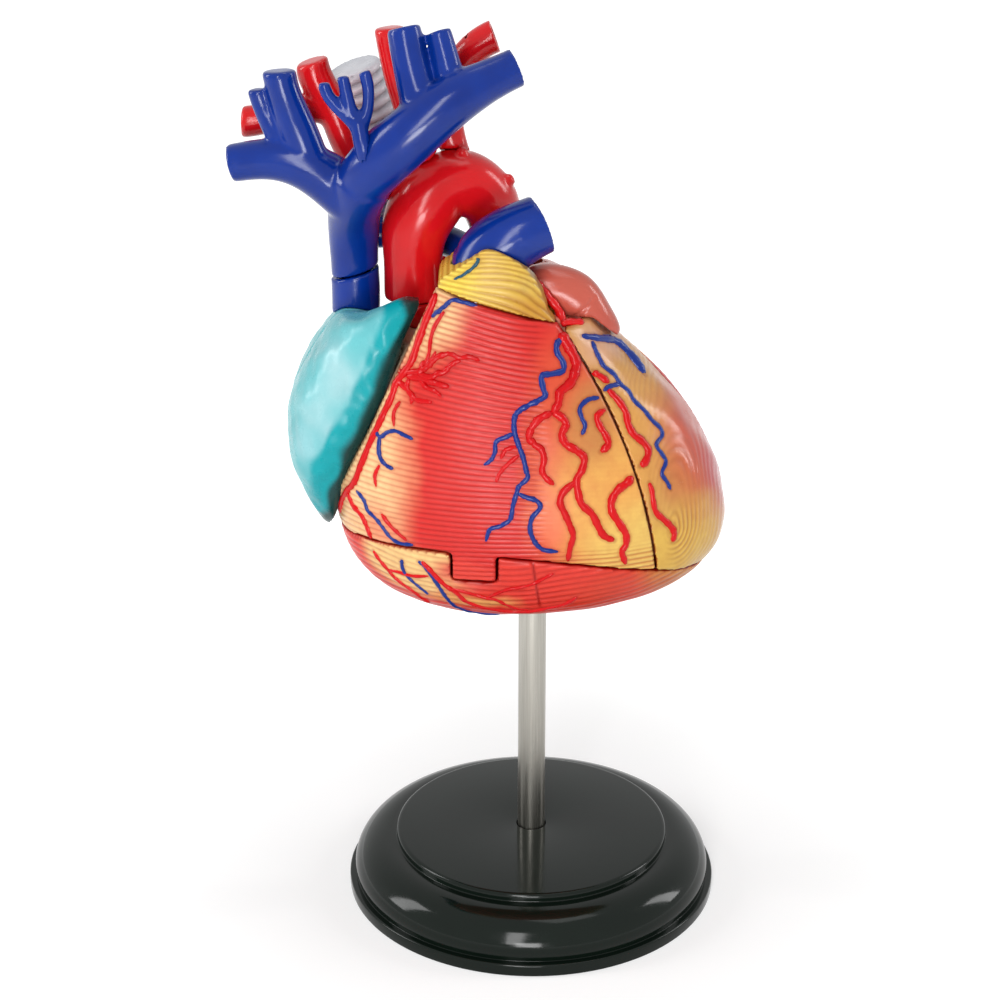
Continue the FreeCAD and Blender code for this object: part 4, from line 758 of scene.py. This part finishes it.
class HEART_OT_walls(bpy.types.Operator):
    """Build the ridged ventricle walls and the vessels that stand out of them"""
    bl_idname = "heart.walls"
    bl_label = "Ventricle walls"

    def execute(self, context):
        walls = context.scene.heart_walls
        artery = gloss_plastic("coronary_artery_lacquer", walls.artery, "#B4060C", 0.18, 0.2)
        vein = gloss_plastic("coronary_vein_lacquer", walls.vein, "#143484", 0.16, 0.26)
        collar_vein = gloss_plastic("collar_vein_lacquer", linear("#0E4A5C"), "#154A70", 0.2)
        lacquers = {
            "artery": (walls.artery_radius, artery, "artery_red"),
            "vein": (walls.vein_radius, vein, "vein_blue"),
            "collar vein": (walls.vein_radius, collar_vein, "vein_blue"),
        }
        for (name, body, node, slot_name, share, pattern, unevenness,
             base, sprays, mottle_and_shade_tint, roughness, vessels) in WALLS:
            wall = ridged_wall(node, walls.grain * share, pattern, walls, unevenness)
            if name == "collar":
                fill_collar_edge(wall)
            base = linear(base) if base else walls.muscle
            # The darker tint goes into the random mottle and into the painted shade in grooves, cut faces and at
            # vessel feet.
            paint = painted_wall("airbrushed_" + name, base, sprays, mottle_and_shade_tint, roughness)
            finish_piece(wall, name + "_shell", body, node, slot_name, paint)
            for kind, lacquer, routes in vessels:
                relief_vessels(f"{name}_{kind}", wall, routes, body, lacquers[lacquer])
        return {"FINISHED"}


# ---- stand
def turned(name, outline):
    """Spin an outline of (radius, height) millimetre points about the upright axis."""
    mesh = bpy.data.meshes.new(name)
    with editing(mesh) as work:
        corners = [work.verts.new((r * MM, 0, z * MM)) for r, z in outline]
        edges = [work.edges.new(pair) for pair in zip(corners, corners[1:])]
        bmesh.ops.spin(work, geom=corners + edges, cent=(0, 0, 0), axis=(0, 0, 1), angle=2 * math.pi, steps=160,
                       use_merge=True)
        bmesh.ops.remove_doubles(work, verts=work.verts, dist=0.004 * MM)
        bmesh.ops.recalc_face_normals(work, faces=work.faces)
    return link(name, mesh)


def rounded(outline, sizes, steps=4):
    """The outline with some corners replaced by small arcs: sizes maps a corner's number to its reach."""
    points = []
    for i, corner in enumerate(outline):
        if i not in sizes:
            points.append(corner)
            continue
        here = Vector(corner)
        before, after = Vector(outline[i - 1]) - here, Vector(outline[i + 1]) - here
        first, last = here + before.normalized() * sizes[i], here + after.normalized() * sizes[i]
        for k in range(steps + 1):
            t = k / steps
            spot = first * (1 - t) ** 2 + here * 2 * t * (1 - t) + last * t ** 2
            points.append((spot.x, spot.y))
    return points


def quarter(centre, reach, rise, angles):
    """Points of a quarter ellipse about a centre, for angles in degrees from the upright."""
    return [(centre[0] + reach * math.sin(math.radians(a)), centre[1] + rise * math.cos(math.radians(a)))
            for a in angles]


class HEART_OT_stand(bpy.types.Operator):
    """Build the turned black stand, its bottom cover and the steel rod"""
    bl_idname = "heart.stand"
    bl_label = "Stand"

    def execute(self, context):
        s = context.scene.heart_stand
        rim, rim_top = s.rim_radius / MM, s.rim_height / MM
        roll, roll_top = s.roll_radius / MM, s.roll_height / MM
        disc, disc_top = s.disc_radius / MM, s.disc_height / MM
        rod = s.rod_radius / MM
        wall, floor, hole, boss, middle = 2.2, 1.6, rod + 0.25, 7.0, 4.6
        start = disc + 1.4
        outer = quarter((start, middle), roll - start, roll_top - middle, range(0, 91, 6))
        inner = quarter((start, middle), roll - start - wall, roll_top - middle - wall, range(90, -1, -10))
        foot = roll - 0.4
        ledge = roll - wall + 1.4
        seat = 3.2
        top = [(0, seat), (hole, seat), (hole, disc_top), (disc, disc_top), (disc, roll_top)]
        side = outer + [(foot, rim_top), (rim, rim_top), (rim, 0), (ledge, 0), (ledge, floor), (roll - wall, floor)]
        inside = inner + [(disc - wall, roll_top - wall), (disc - wall, disc_top - wall), (boss, disc_top - wall),
                          (boss, floor), (0, floor)]
        corner = len(top) + len(outer)
        outline = rounded(top + side + inside,
                          {2: 0.25, 3: 1.0, 4: 0.25, corner: 0.2, corner + 1: 0.5, corner + 2: 0.3})
        cover = ledge - 0.15
        bore, tube_top = rod - 0.9, 94.0
        shapes = (
            ("stand_base", "stand", "base_shell", "black_gloss", outline,
             gloss_plastic("polished_black_abs", s.plastic, "#0E1812", 0.08, 0.2)),
            ("stand_cover", "stand", "base_bottom_cover", "cover_felt",
             rounded([(0, 0), (cover, 0), (cover, floor), (0, floor)], {1: 0.2}), matt_backing("pressed_board")),
            ("stand_rod_tube", "rod", "stand_rod", "rod_steel",
             rounded([(bore, seat), (rod, seat), (rod, tube_top), (bore, tube_top), (bore, seat)], {1: 0.3, 2: 0.3}),
             drawn_steel("satin_drawn_steel", s.steel)),
        )
        for name, body, node, slot_name, shape, material in shapes:
            piece = finish_piece(turned(name, shape), name, body, node, slot_name, material)
            piece.data.set_sharp_from_angle(angle=math.radians(40))
        return {"FINISHED"}


# ---- great vessels
PULMONARY_VEINS = ("left_upper_pulmonary_vein", "left_lower_pulmonary_vein", "right_upper_pulmonary_vein",
                   "right_lower_pulmonary_vein")
# Body, finish and solids of the smooth vessels.
VESSELS = (
    ("great_veins", "blue", ("vein_tree", "thymic_vein")),
    ("core", "blue", ("superior_vena_cava_cuff",)),
    ("back_wall", "blue", ("inferior_vena_cava",)),
    ("trunk", "blue", ("pulmonary_trunk",)),
    ("core", "blue", ("right_pulmonary_artery",)),
    ("aorta", "red", ("aortic_arch",)),
    ("core", "red", ("aortic_root",)),
    ("aorta", "red", ("brachiocephalic_artery", "left_carotid_artery", "left_subclavian_artery")),
    ("left_atrium", "red", PULMONARY_VEINS),
)
# Further rounds of smoothing; the thin ones would shrink under as many as the others get.
ROUNDS = 9
THIN_ROUNDS = {"thymic_vein": 4, **dict.fromkeys(PULMONARY_VEINS, 3)}
# Vessels whose thin open ends need a finer mesh, as part of the set mesh size.
OPEN_ENDED = {"vein_tree": 0.72, "left_subclavian_artery": 0.55, "pulmonary_trunk": 0.7, "aortic_arch": 0.8}
# The coronary artery's stem beside the collar and its branch towards the auricle: widths, then points in space.
STEM_ARTERIES = (
    (1.1, 1, (
        (0.2, -11.2, 149.6), (1.5, -12.2, 148), (2.8, -12.4, 146.4), (4.4, -12.6, 144.5), (5.4, -13.6, 142.8),
        (6, -15.4, 141.2))),
    (0.9, 0.8, ((5.4, -15.9, 141.7), (6.7, -15.4, 142.1), (8.6, -14.6, 141.9), (10.1, -14, 141.6))),
)


class HEART_OT_vessels(bpy.types.Operator):
    """Build the smooth lacquered great vessels and the ringed windpipe"""
    bl_idname = "heart.vessels"
    bl_label = "Great vessels"

    def execute(self, context):
        s = context.scene.heart_vessels
        finishes = {
            # The last colour of each finish is painted shade inside the open ends.
            "blue": ("vein_blue", gloss_plastic("blue_lacquered_pvc", s.blue, "#011F6E", 0.14, 0.28, "#2A2326")),
            "red": ("artery_red", gloss_plastic("red_lacquered_pvc", s.red, "#C00A10", 0.14, 0.3, "#3A2220")),
        }
        for body, finish, nodes in VESSELS:
            for node in nodes:
                finish_piece(self.vessel(node, s.grain), node + "_lacquered", body, node, *finishes[finish])
        lines = []
        for number, (start, end, route) in enumerate(STEM_ARTERIES):
            line = smooth_route(route)
            lines.append([(Vector(place) * MM, knobbly_width(i, len(line) - 1, start, end, number))
                          for i, place in enumerate(line)])
        tubes("left_coronary_stem", lines, "core", (0.9 * MM, finishes["red"][1], "artery_red"))
        self.windpipe(s)
        return {"FINISHED"}

    def vessel(self, node, grain):
        """A smooth vessel with slight lumps, its thin open ends left crisp."""
        finer = OPEN_ENDED.get(node, 1.0)
        piece = remeshed(node, grain * finer, 3)
        thin, hollow = hollow_ends(piece)
        soften(piece, round(THIN_ROUNDS.get(node, ROUNDS) / finer ** 2), np.flatnonzero(~thin))
        places, normals = points_of(piece.data)
        push(piece.data, places, normals, 0.14 * lumps(places, 9, 21))
        note(piece.data, "hollow", hollow)
        return piece

    def windpipe(self, s):
        """Rings round the pipe; they fade on the branches."""
        piece = remeshed("trachea", s.grain, 4)
        places, normals = points_of(piece.data)
        lower, upper = np.array((-29.5, 19.5, 166.5)), np.array((-38.8, 16.2, 189.0))
        way = (upper - lower) / np.linalg.norm(upper - lower)
        along = (places - lower) @ way
        side = 1 - np.abs(normals @ way)
        groove = ridges(along / (s.ring_pitch / MM), 2.2) * ramp(side, 0.3, 0.7) * ramp(places[:, 2], 150, 156)
        rise, cut, sink = 0.35, 0.45, 0.1
        # The ring grooves are noted, and the paint darkens them as painted shade; the upper end is sprayed paler.
        push(piece.data, places, normals, rise * (1 - groove) - cut * groove - sink, groove)
        sprays = (((-38, 10, 186), (8, 10, 8), 0.6, "#D6D8DE", 0.8),)
        material = painted_wall("windpipe_pvc", s.windpipe, sprays, "#8C8890", 0.3)
        finish_piece(piece, "trachea_ringed", "trachea_piece", "trachea", "trachea_cream", material)


# ---- atria and auricle
def hammered(node, grain, settings, centre, radii, seed):
    """A shell with broad soft lumps on its outside, and painted shade noted in the hollows between them."""
    piece = remeshed(node, grain, 3)
    places, normals = points_of(piece.data)
    skin = outside(places, normals, centre, radii)
    height = skin * (0.8 * lumps(places, 6.5, seed) + 0.5 * lumps(places, 2.8, seed + 1)) * settings.lump / MM
    # Painted shade: the hollows between the lumps are noted as grooves for the paint to darken.
    push(piece.data, places, normals, height, np.clip(skin * -0.3 * lumps(places, 6.5, seed), 0, 1))
    return piece


def edge_distance(places, step=1.5):
    """How far each point is inside the shell's right-hand outline (mm), level by level."""
    level = np.round(places[:, 2] / step).astype(int)
    rows = np.unique(level)
    reach = np.array([places[level == row, 0].max() for row in rows])
    reach = np.convolve(np.pad(reach, 1, mode="edge"), (0.25, 0.5, 0.25), mode="valid")
    return np.interp(places[:, 2], rows * step, reach) - places[:, 0]


def rolled_edge(piece, radius, parting, edge_shift=1.7, tip_shift=(2.2, -3.6)):
    """Bring the shell's right edge and lower tip up to the front wall, then roll the edge back towards the
    parting plane and note how near the edge each point is."""
    places, _ = points_of(piece.data)
    distance = edge_distance(places)
    tip = (1 - ramp(places[:, 2], 98.0, 110.0)) * ramp(parting - places[:, 1], 0.5, 8.0)
    middle = 1 - ramp(np.abs(places[:, 2] - 118.0), 8.0, 22.0)
    way = np.zeros_like(places)
    way[:, 0] = edge_shift * (1 - ramp(distance, 0.0, 7.0)) * middle + tip_shift[0] * tip
    way[:, 2] = tip_shift[1] * tip
    push(piece.data, places, way, np.ones(len(places)))
    places, _ = points_of(piece.data)
    inside = np.clip(radius - distance, 0, radius)
    drop = radius - np.sqrt(radius ** 2 - inside ** 2)
    face = places[:, 1].min()
    share = np.clip((parting - places[:, 1]) / (parting - face), 0, 1)
    way = np.zeros_like(places)
    way[:, 1] = 1
    push(piece.data, places, way, drop * share * 0.8)
    places, normals = points_of(piece.data)
    beads = ramp(distance, 1.0, 3.0) * (1 - ramp(distance, 5.0, 8.0)) * ramp(-normals[:, 1], 0.2, 0.6)
    push(piece.data, places, normals, beads * 0.22 * lumps(places, 2.6, 33))
    # The edge value places the teal band and, nearest the edge, the painted shade.
    edge = np.clip(1 - (distance + 0.9 * lumps(places, 5.0, 34)) / 10, 0, 1)
    note(piece.data, "edge", edge)


# Sprayed patches on the right atrium: darker teal tones, and pale patches that are painted highlights on its face.
ATRIUM_TONES_AND_HIGHLIGHTS = (
    ((-52, -10, 106), (12, 60, 14), 0.6, "#58B4BA", 0.9),
    ((-38, -14, 147), (16, 60, 6), 0.6, "#62B8BE", 0.8),
    # Painted highlights: pale soft patches where the lacquer catches the light.
    ((-41, -22, 131), (4.5, 20, 5.5), 0.7, "#B6D6DA", 0.7),
    ((-46, -22, 123), (3.5, 20, 4.5), 0.7, "#B6D6DA", 0.6),
    ((-41.5, -22, 117), (3, 20, 5), 0.7, "#B2D4DA", 0.6),
    ((-48.5, -22, 115.5), (2.5, 20, 3.5), 0.7, "#B2D4DA", 0.5),
)
# The crease of the left auricle rises to the right and fades just past this point: x and z (mm).
CREASE_END = np.array((10.8, 144.3))


class HEART_OT_atria(bpy.types.Operator):
    """Build the pearly right atrium, the left atrium and the glossy left auricle"""
    bl_idname = "heart.atria"
    bl_label = "Atria"

    def execute(self, context):
        s = context.scene.heart_atria
        # Bands along the rolled edge: saturated teal paint, then painted shade on the side that faces the front wall.
        pearl = painted_wall("pearl_lacquered_pvc", s.pearl, ATRIUM_TONES_AND_HIGHLIGHTS, "#55AEB3", 0.28,
                             ((0.24, 0.42, s.teal), (0.63, 0.82, s.shade)))
        middle, radii = (-36.0, 1.0, 122.0), (17.0, 22.0, 30.0)
        for node, body in (("right_atrium_front_shell", "atrium_front"), ("right_atrium_back_shell", "core")):
            piece = hammered(node, s.grain, s, middle, radii, 31)
            if body == "atrium_front":
                rolled_edge(piece, 6.0, 0.0)
            finish_piece(piece, node + "_pearl", body, node, "atrium_teal", pearl)
        coral = gloss_plastic("coral_lacquered_pvc", s.coral, "#B8402E", 0.18)
        dome = hammered("left_atrium_shell", s.grain, s, (0.0, 12.0, 138.0), (14.0, 12.0, 9.0), 41)
        finish_piece(dome, "left_atrium_dome", "left_atrium", "left_atrium_shell", "atrium_red", coral)
        ear = remeshed("left_auricle", s.grain * 0.8, 16)
        places, normals = points_of(ear.data)
        from_end = places[:, (0, 2)] - CREASE_END
        across = 0.72 * from_end[:, 1] - 0.69 * from_end[:, 0]
        along = 0.69 * from_end[:, 1] + 0.72 * from_end[:, 0]
        crease = np.exp(-(across / 0.45) ** 2) * (1 - ramp(along, 1.6, 3.0))
        skin = ramp(normals @ np.array((0.5, -0.75, 0.43)), -0.1, 0.4)
        push(ear.data, places, normals, 0.2 * lumps(places, 6, 51) - 0.45 * crease * skin)
        finish_piece(ear, "left_auricle_lobe", "auricle", "left_auricle", "auricle_coral", coral)
        return {"FINISHED"}


# ---- inside pieces
# Inside pieces: mesh size and unevenness (mm).
INSIDE = {
    "interventricular_septum": (0.7, 0.3),
    "valve_ring_plate": (0.5, 0.15),
    "tricuspid_valve": (0.32, 0.05),
    "mitral_valve": (0.32, 0.05),
    "aortic_valve": (0.3, 0.03),
    "pulmonary_valve": (0.3, 0.03),
    "right_papillary_muscles": (0.28, 0.08),
    "left_papillary_muscles": (0.28, 0.08),
}


class HEART_OT_inside(bpy.types.Operator):
    """Build the septum, the valves and the papillary muscles"""
    bl_idname = "heart.inside"
    bl_label = "Inside pieces"

    def execute(self, context):
        muscle = painted_wall("satin_muscle_pvc", linear("#D9806C"), (
            ((0.0, 0.0, 96.0), (40.0, 40.0, 12.0), 0.6, "#C96A58", 0.8),
            ((-4.0, 0.0, 134.0), (40.0, 40.0, 5.0), 0.5, "#EBD3B0", 0.9)), "#A84C40", 0.38)
        leaf = painted_wall("soft_cream_vinyl", linear("#EEDFC0"), (), "#C8A880", 0.3)
        for node, (grain, rough) in INSIDE.items():
            piece = remeshed(node, grain * MM, 2)
            places, normals = points_of(piece.data)
            push(piece.data, places, normals, rough * lumps(places, 3.6, 61), np.zeros(len(places)))
            valve = node.endswith("valve")
            finish_piece(piece, node + "_moulded", "core", node, "valve_cream" if valve else "muscle_inside",
                         leaf if valve else muscle)
        return {"FINISHED"}


# ---- stage
class HEART_OT_stage(bpy.types.Operator):
    """Lay the pale floor, set the camera and the soft lamps"""
    bl_idname = "heart.stage"
    bl_label = "Floor, lamps and camera"

    def execute(self, context):
        s = context.scene.heart_stage
        scene = context.scene
        scene.view_settings.view_transform = "Standard"
        mesh = bpy.data.meshes.new("floor")
        with editing(mesh) as work:
            bmesh.ops.create_grid(work, x_segments=1, y_segments=1, size=4.0)
        mesh.materials.append(self.floor_paint())
        link("floor", mesh)
        self.world(scene, s.ambient)
        aim = Vector((-0.005, 0, 0.1))
        # Each lamp: its place and its width and height in metres, and its power in watts.
        lamps = {
            "key_lamp": ((-0.16, -0.86, 0.5), (0.17, 0.75), s.key_power),
            "low_lamp": ((-0.02, -0.52, 0.08), (0.13, 0.13), 1.0),
            "left_lamp": ((-0.74, 0.0, 0.42), (0.2, 0.5), 2.8),
            "right_lamp": ((0.72, 0.12, 0.42), (0.15, 0.45), 2.0),
            "top_lamp": ((0.1, 0.1, 0.95), (0.5, 0.3), 1.0),
        }
        for name, (place, size, power) in lamps.items():
            lamp = bpy.data.lights.new(name, "AREA")
            lamp.shape = "RECTANGLE"
            lamp.size, lamp.size_y = size
            lamp.energy = power
            holder = link(name, lamp)
            holder.location = place
            holder.rotation_euler = (aim - Vector(place)).to_track_quat("-Z", "Y").to_euler()
        camera = bpy.data.cameras.new("camera")
        camera.lens = s.camera_lens
        camera.sensor_width = 36.0
        camera.sensor_fit = "HORIZONTAL"
        holder = link("camera", camera)
        holder.location = (s.camera_side, -s.camera_distance, s.camera_height)
        holder.rotation_euler = (math.pi / 2 - s.camera_tilt, 0, 0)
        scene.camera = holder
        return {"FINISHED"}

    def seen(self, tree):
        """1 for rays from the camera, from mirrors and through glass."""
        path = add(tree, "LightPath").outputs
        first = worked(tree, "MAXIMUM", path["Is Camera Ray"], path["Is Glossy Ray"], kind="Math")
        return worked(tree, "MAXIMUM", first, path["Is Transmission Ray"], kind="Math")

    def floor_paint(self):
        """Matt white paper sweep, lifted to white where it is looked at, a little less near the stand."""
        material, tree, place = new_material("paper_sweep")
        away = worked(tree, "LENGTH", place, output="Value")
        white = spread(tree, away, 0.05, 0.2, 0.5, 1.0, smooth=True)
        paper = add(tree, "BsdfDiffuse", {"Color": (0.56, 0.56, 0.56, 1)})
        lift = worked(tree, "MULTIPLY", self.seen(tree), white, kind="Math")
        glow = add(tree, "Emission", {"Color": (1, 1, 1, 1), "Strength": lift})
        both = add(tree, "AddShader", {0: paper.outputs[0], 1: glow.outputs[0]})
        add(tree, "OutputMaterial", {"Surface": both.outputs[0]})
        return material

    def world(self, scene, ambient):
        """White where it is looked at, and a weaker even light on everything."""
        world = bpy.data.worlds.new("studio")
        scene.world = world
        world.use_nodes = True
        tree = world.node_tree
        tree.nodes.clear()
        strength = spread(tree, self.seen(tree), 0.0, 1.0, ambient, 1.0)
        sky = add(tree, "Background", {"Color": (1, 1, 1, 1), "Strength": strength})
        add(tree, "OutputWorld", {"Surface": sky.outputs[0]})


class HEART_PT_panel(bpy.types.Panel):
    """Lists the steps that build the model"""
    bl_idname = "HEART_PT_panel"
    bl_label = "Heart model"
    bl_space_type = "VIEW_3D"
    bl_region_type = "UI"
    bl_category = "Heart"

    def draw(self, context):
        for step in STEPS:
            self.layout.operator(step.bl_idname)
        for name in GROUPS:
            box = self.layout.box()
            settings = getattr(context.scene, name)
            for prop in settings.bl_rna.properties:
                if prop.identifier not in ("rna_type", "name"):
                    box.prop(settings, prop.identifier)


STEPS = (HEART_OT_stand, HEART_OT_walls, HEART_OT_vessels, HEART_OT_atria, HEART_OT_inside, HEART_OT_stage)


def register():
    for cls in (*GROUPS.values(), *STEPS, HEART_PT_panel):
        bpy.utils.register_class(cls)
    for name, cls in GROUPS.items():
        setattr(bpy.types.Scene, name, PointerProperty(type=cls))


def unregister():
    for name in GROUPS:
        delattr(bpy.types.Scene, name)
    for cls in reversed((*GROUPS.values(), *STEPS, HEART_PT_panel)):
        bpy.utils.unregister_class(cls)


def main():
    register()
    for step in STEPS:
        getattr(bpy.ops.heart, step.bl_idname.split(".")[1])()
    bpy.context.view_layer.update()


if __name__ == "__main__":
    main()
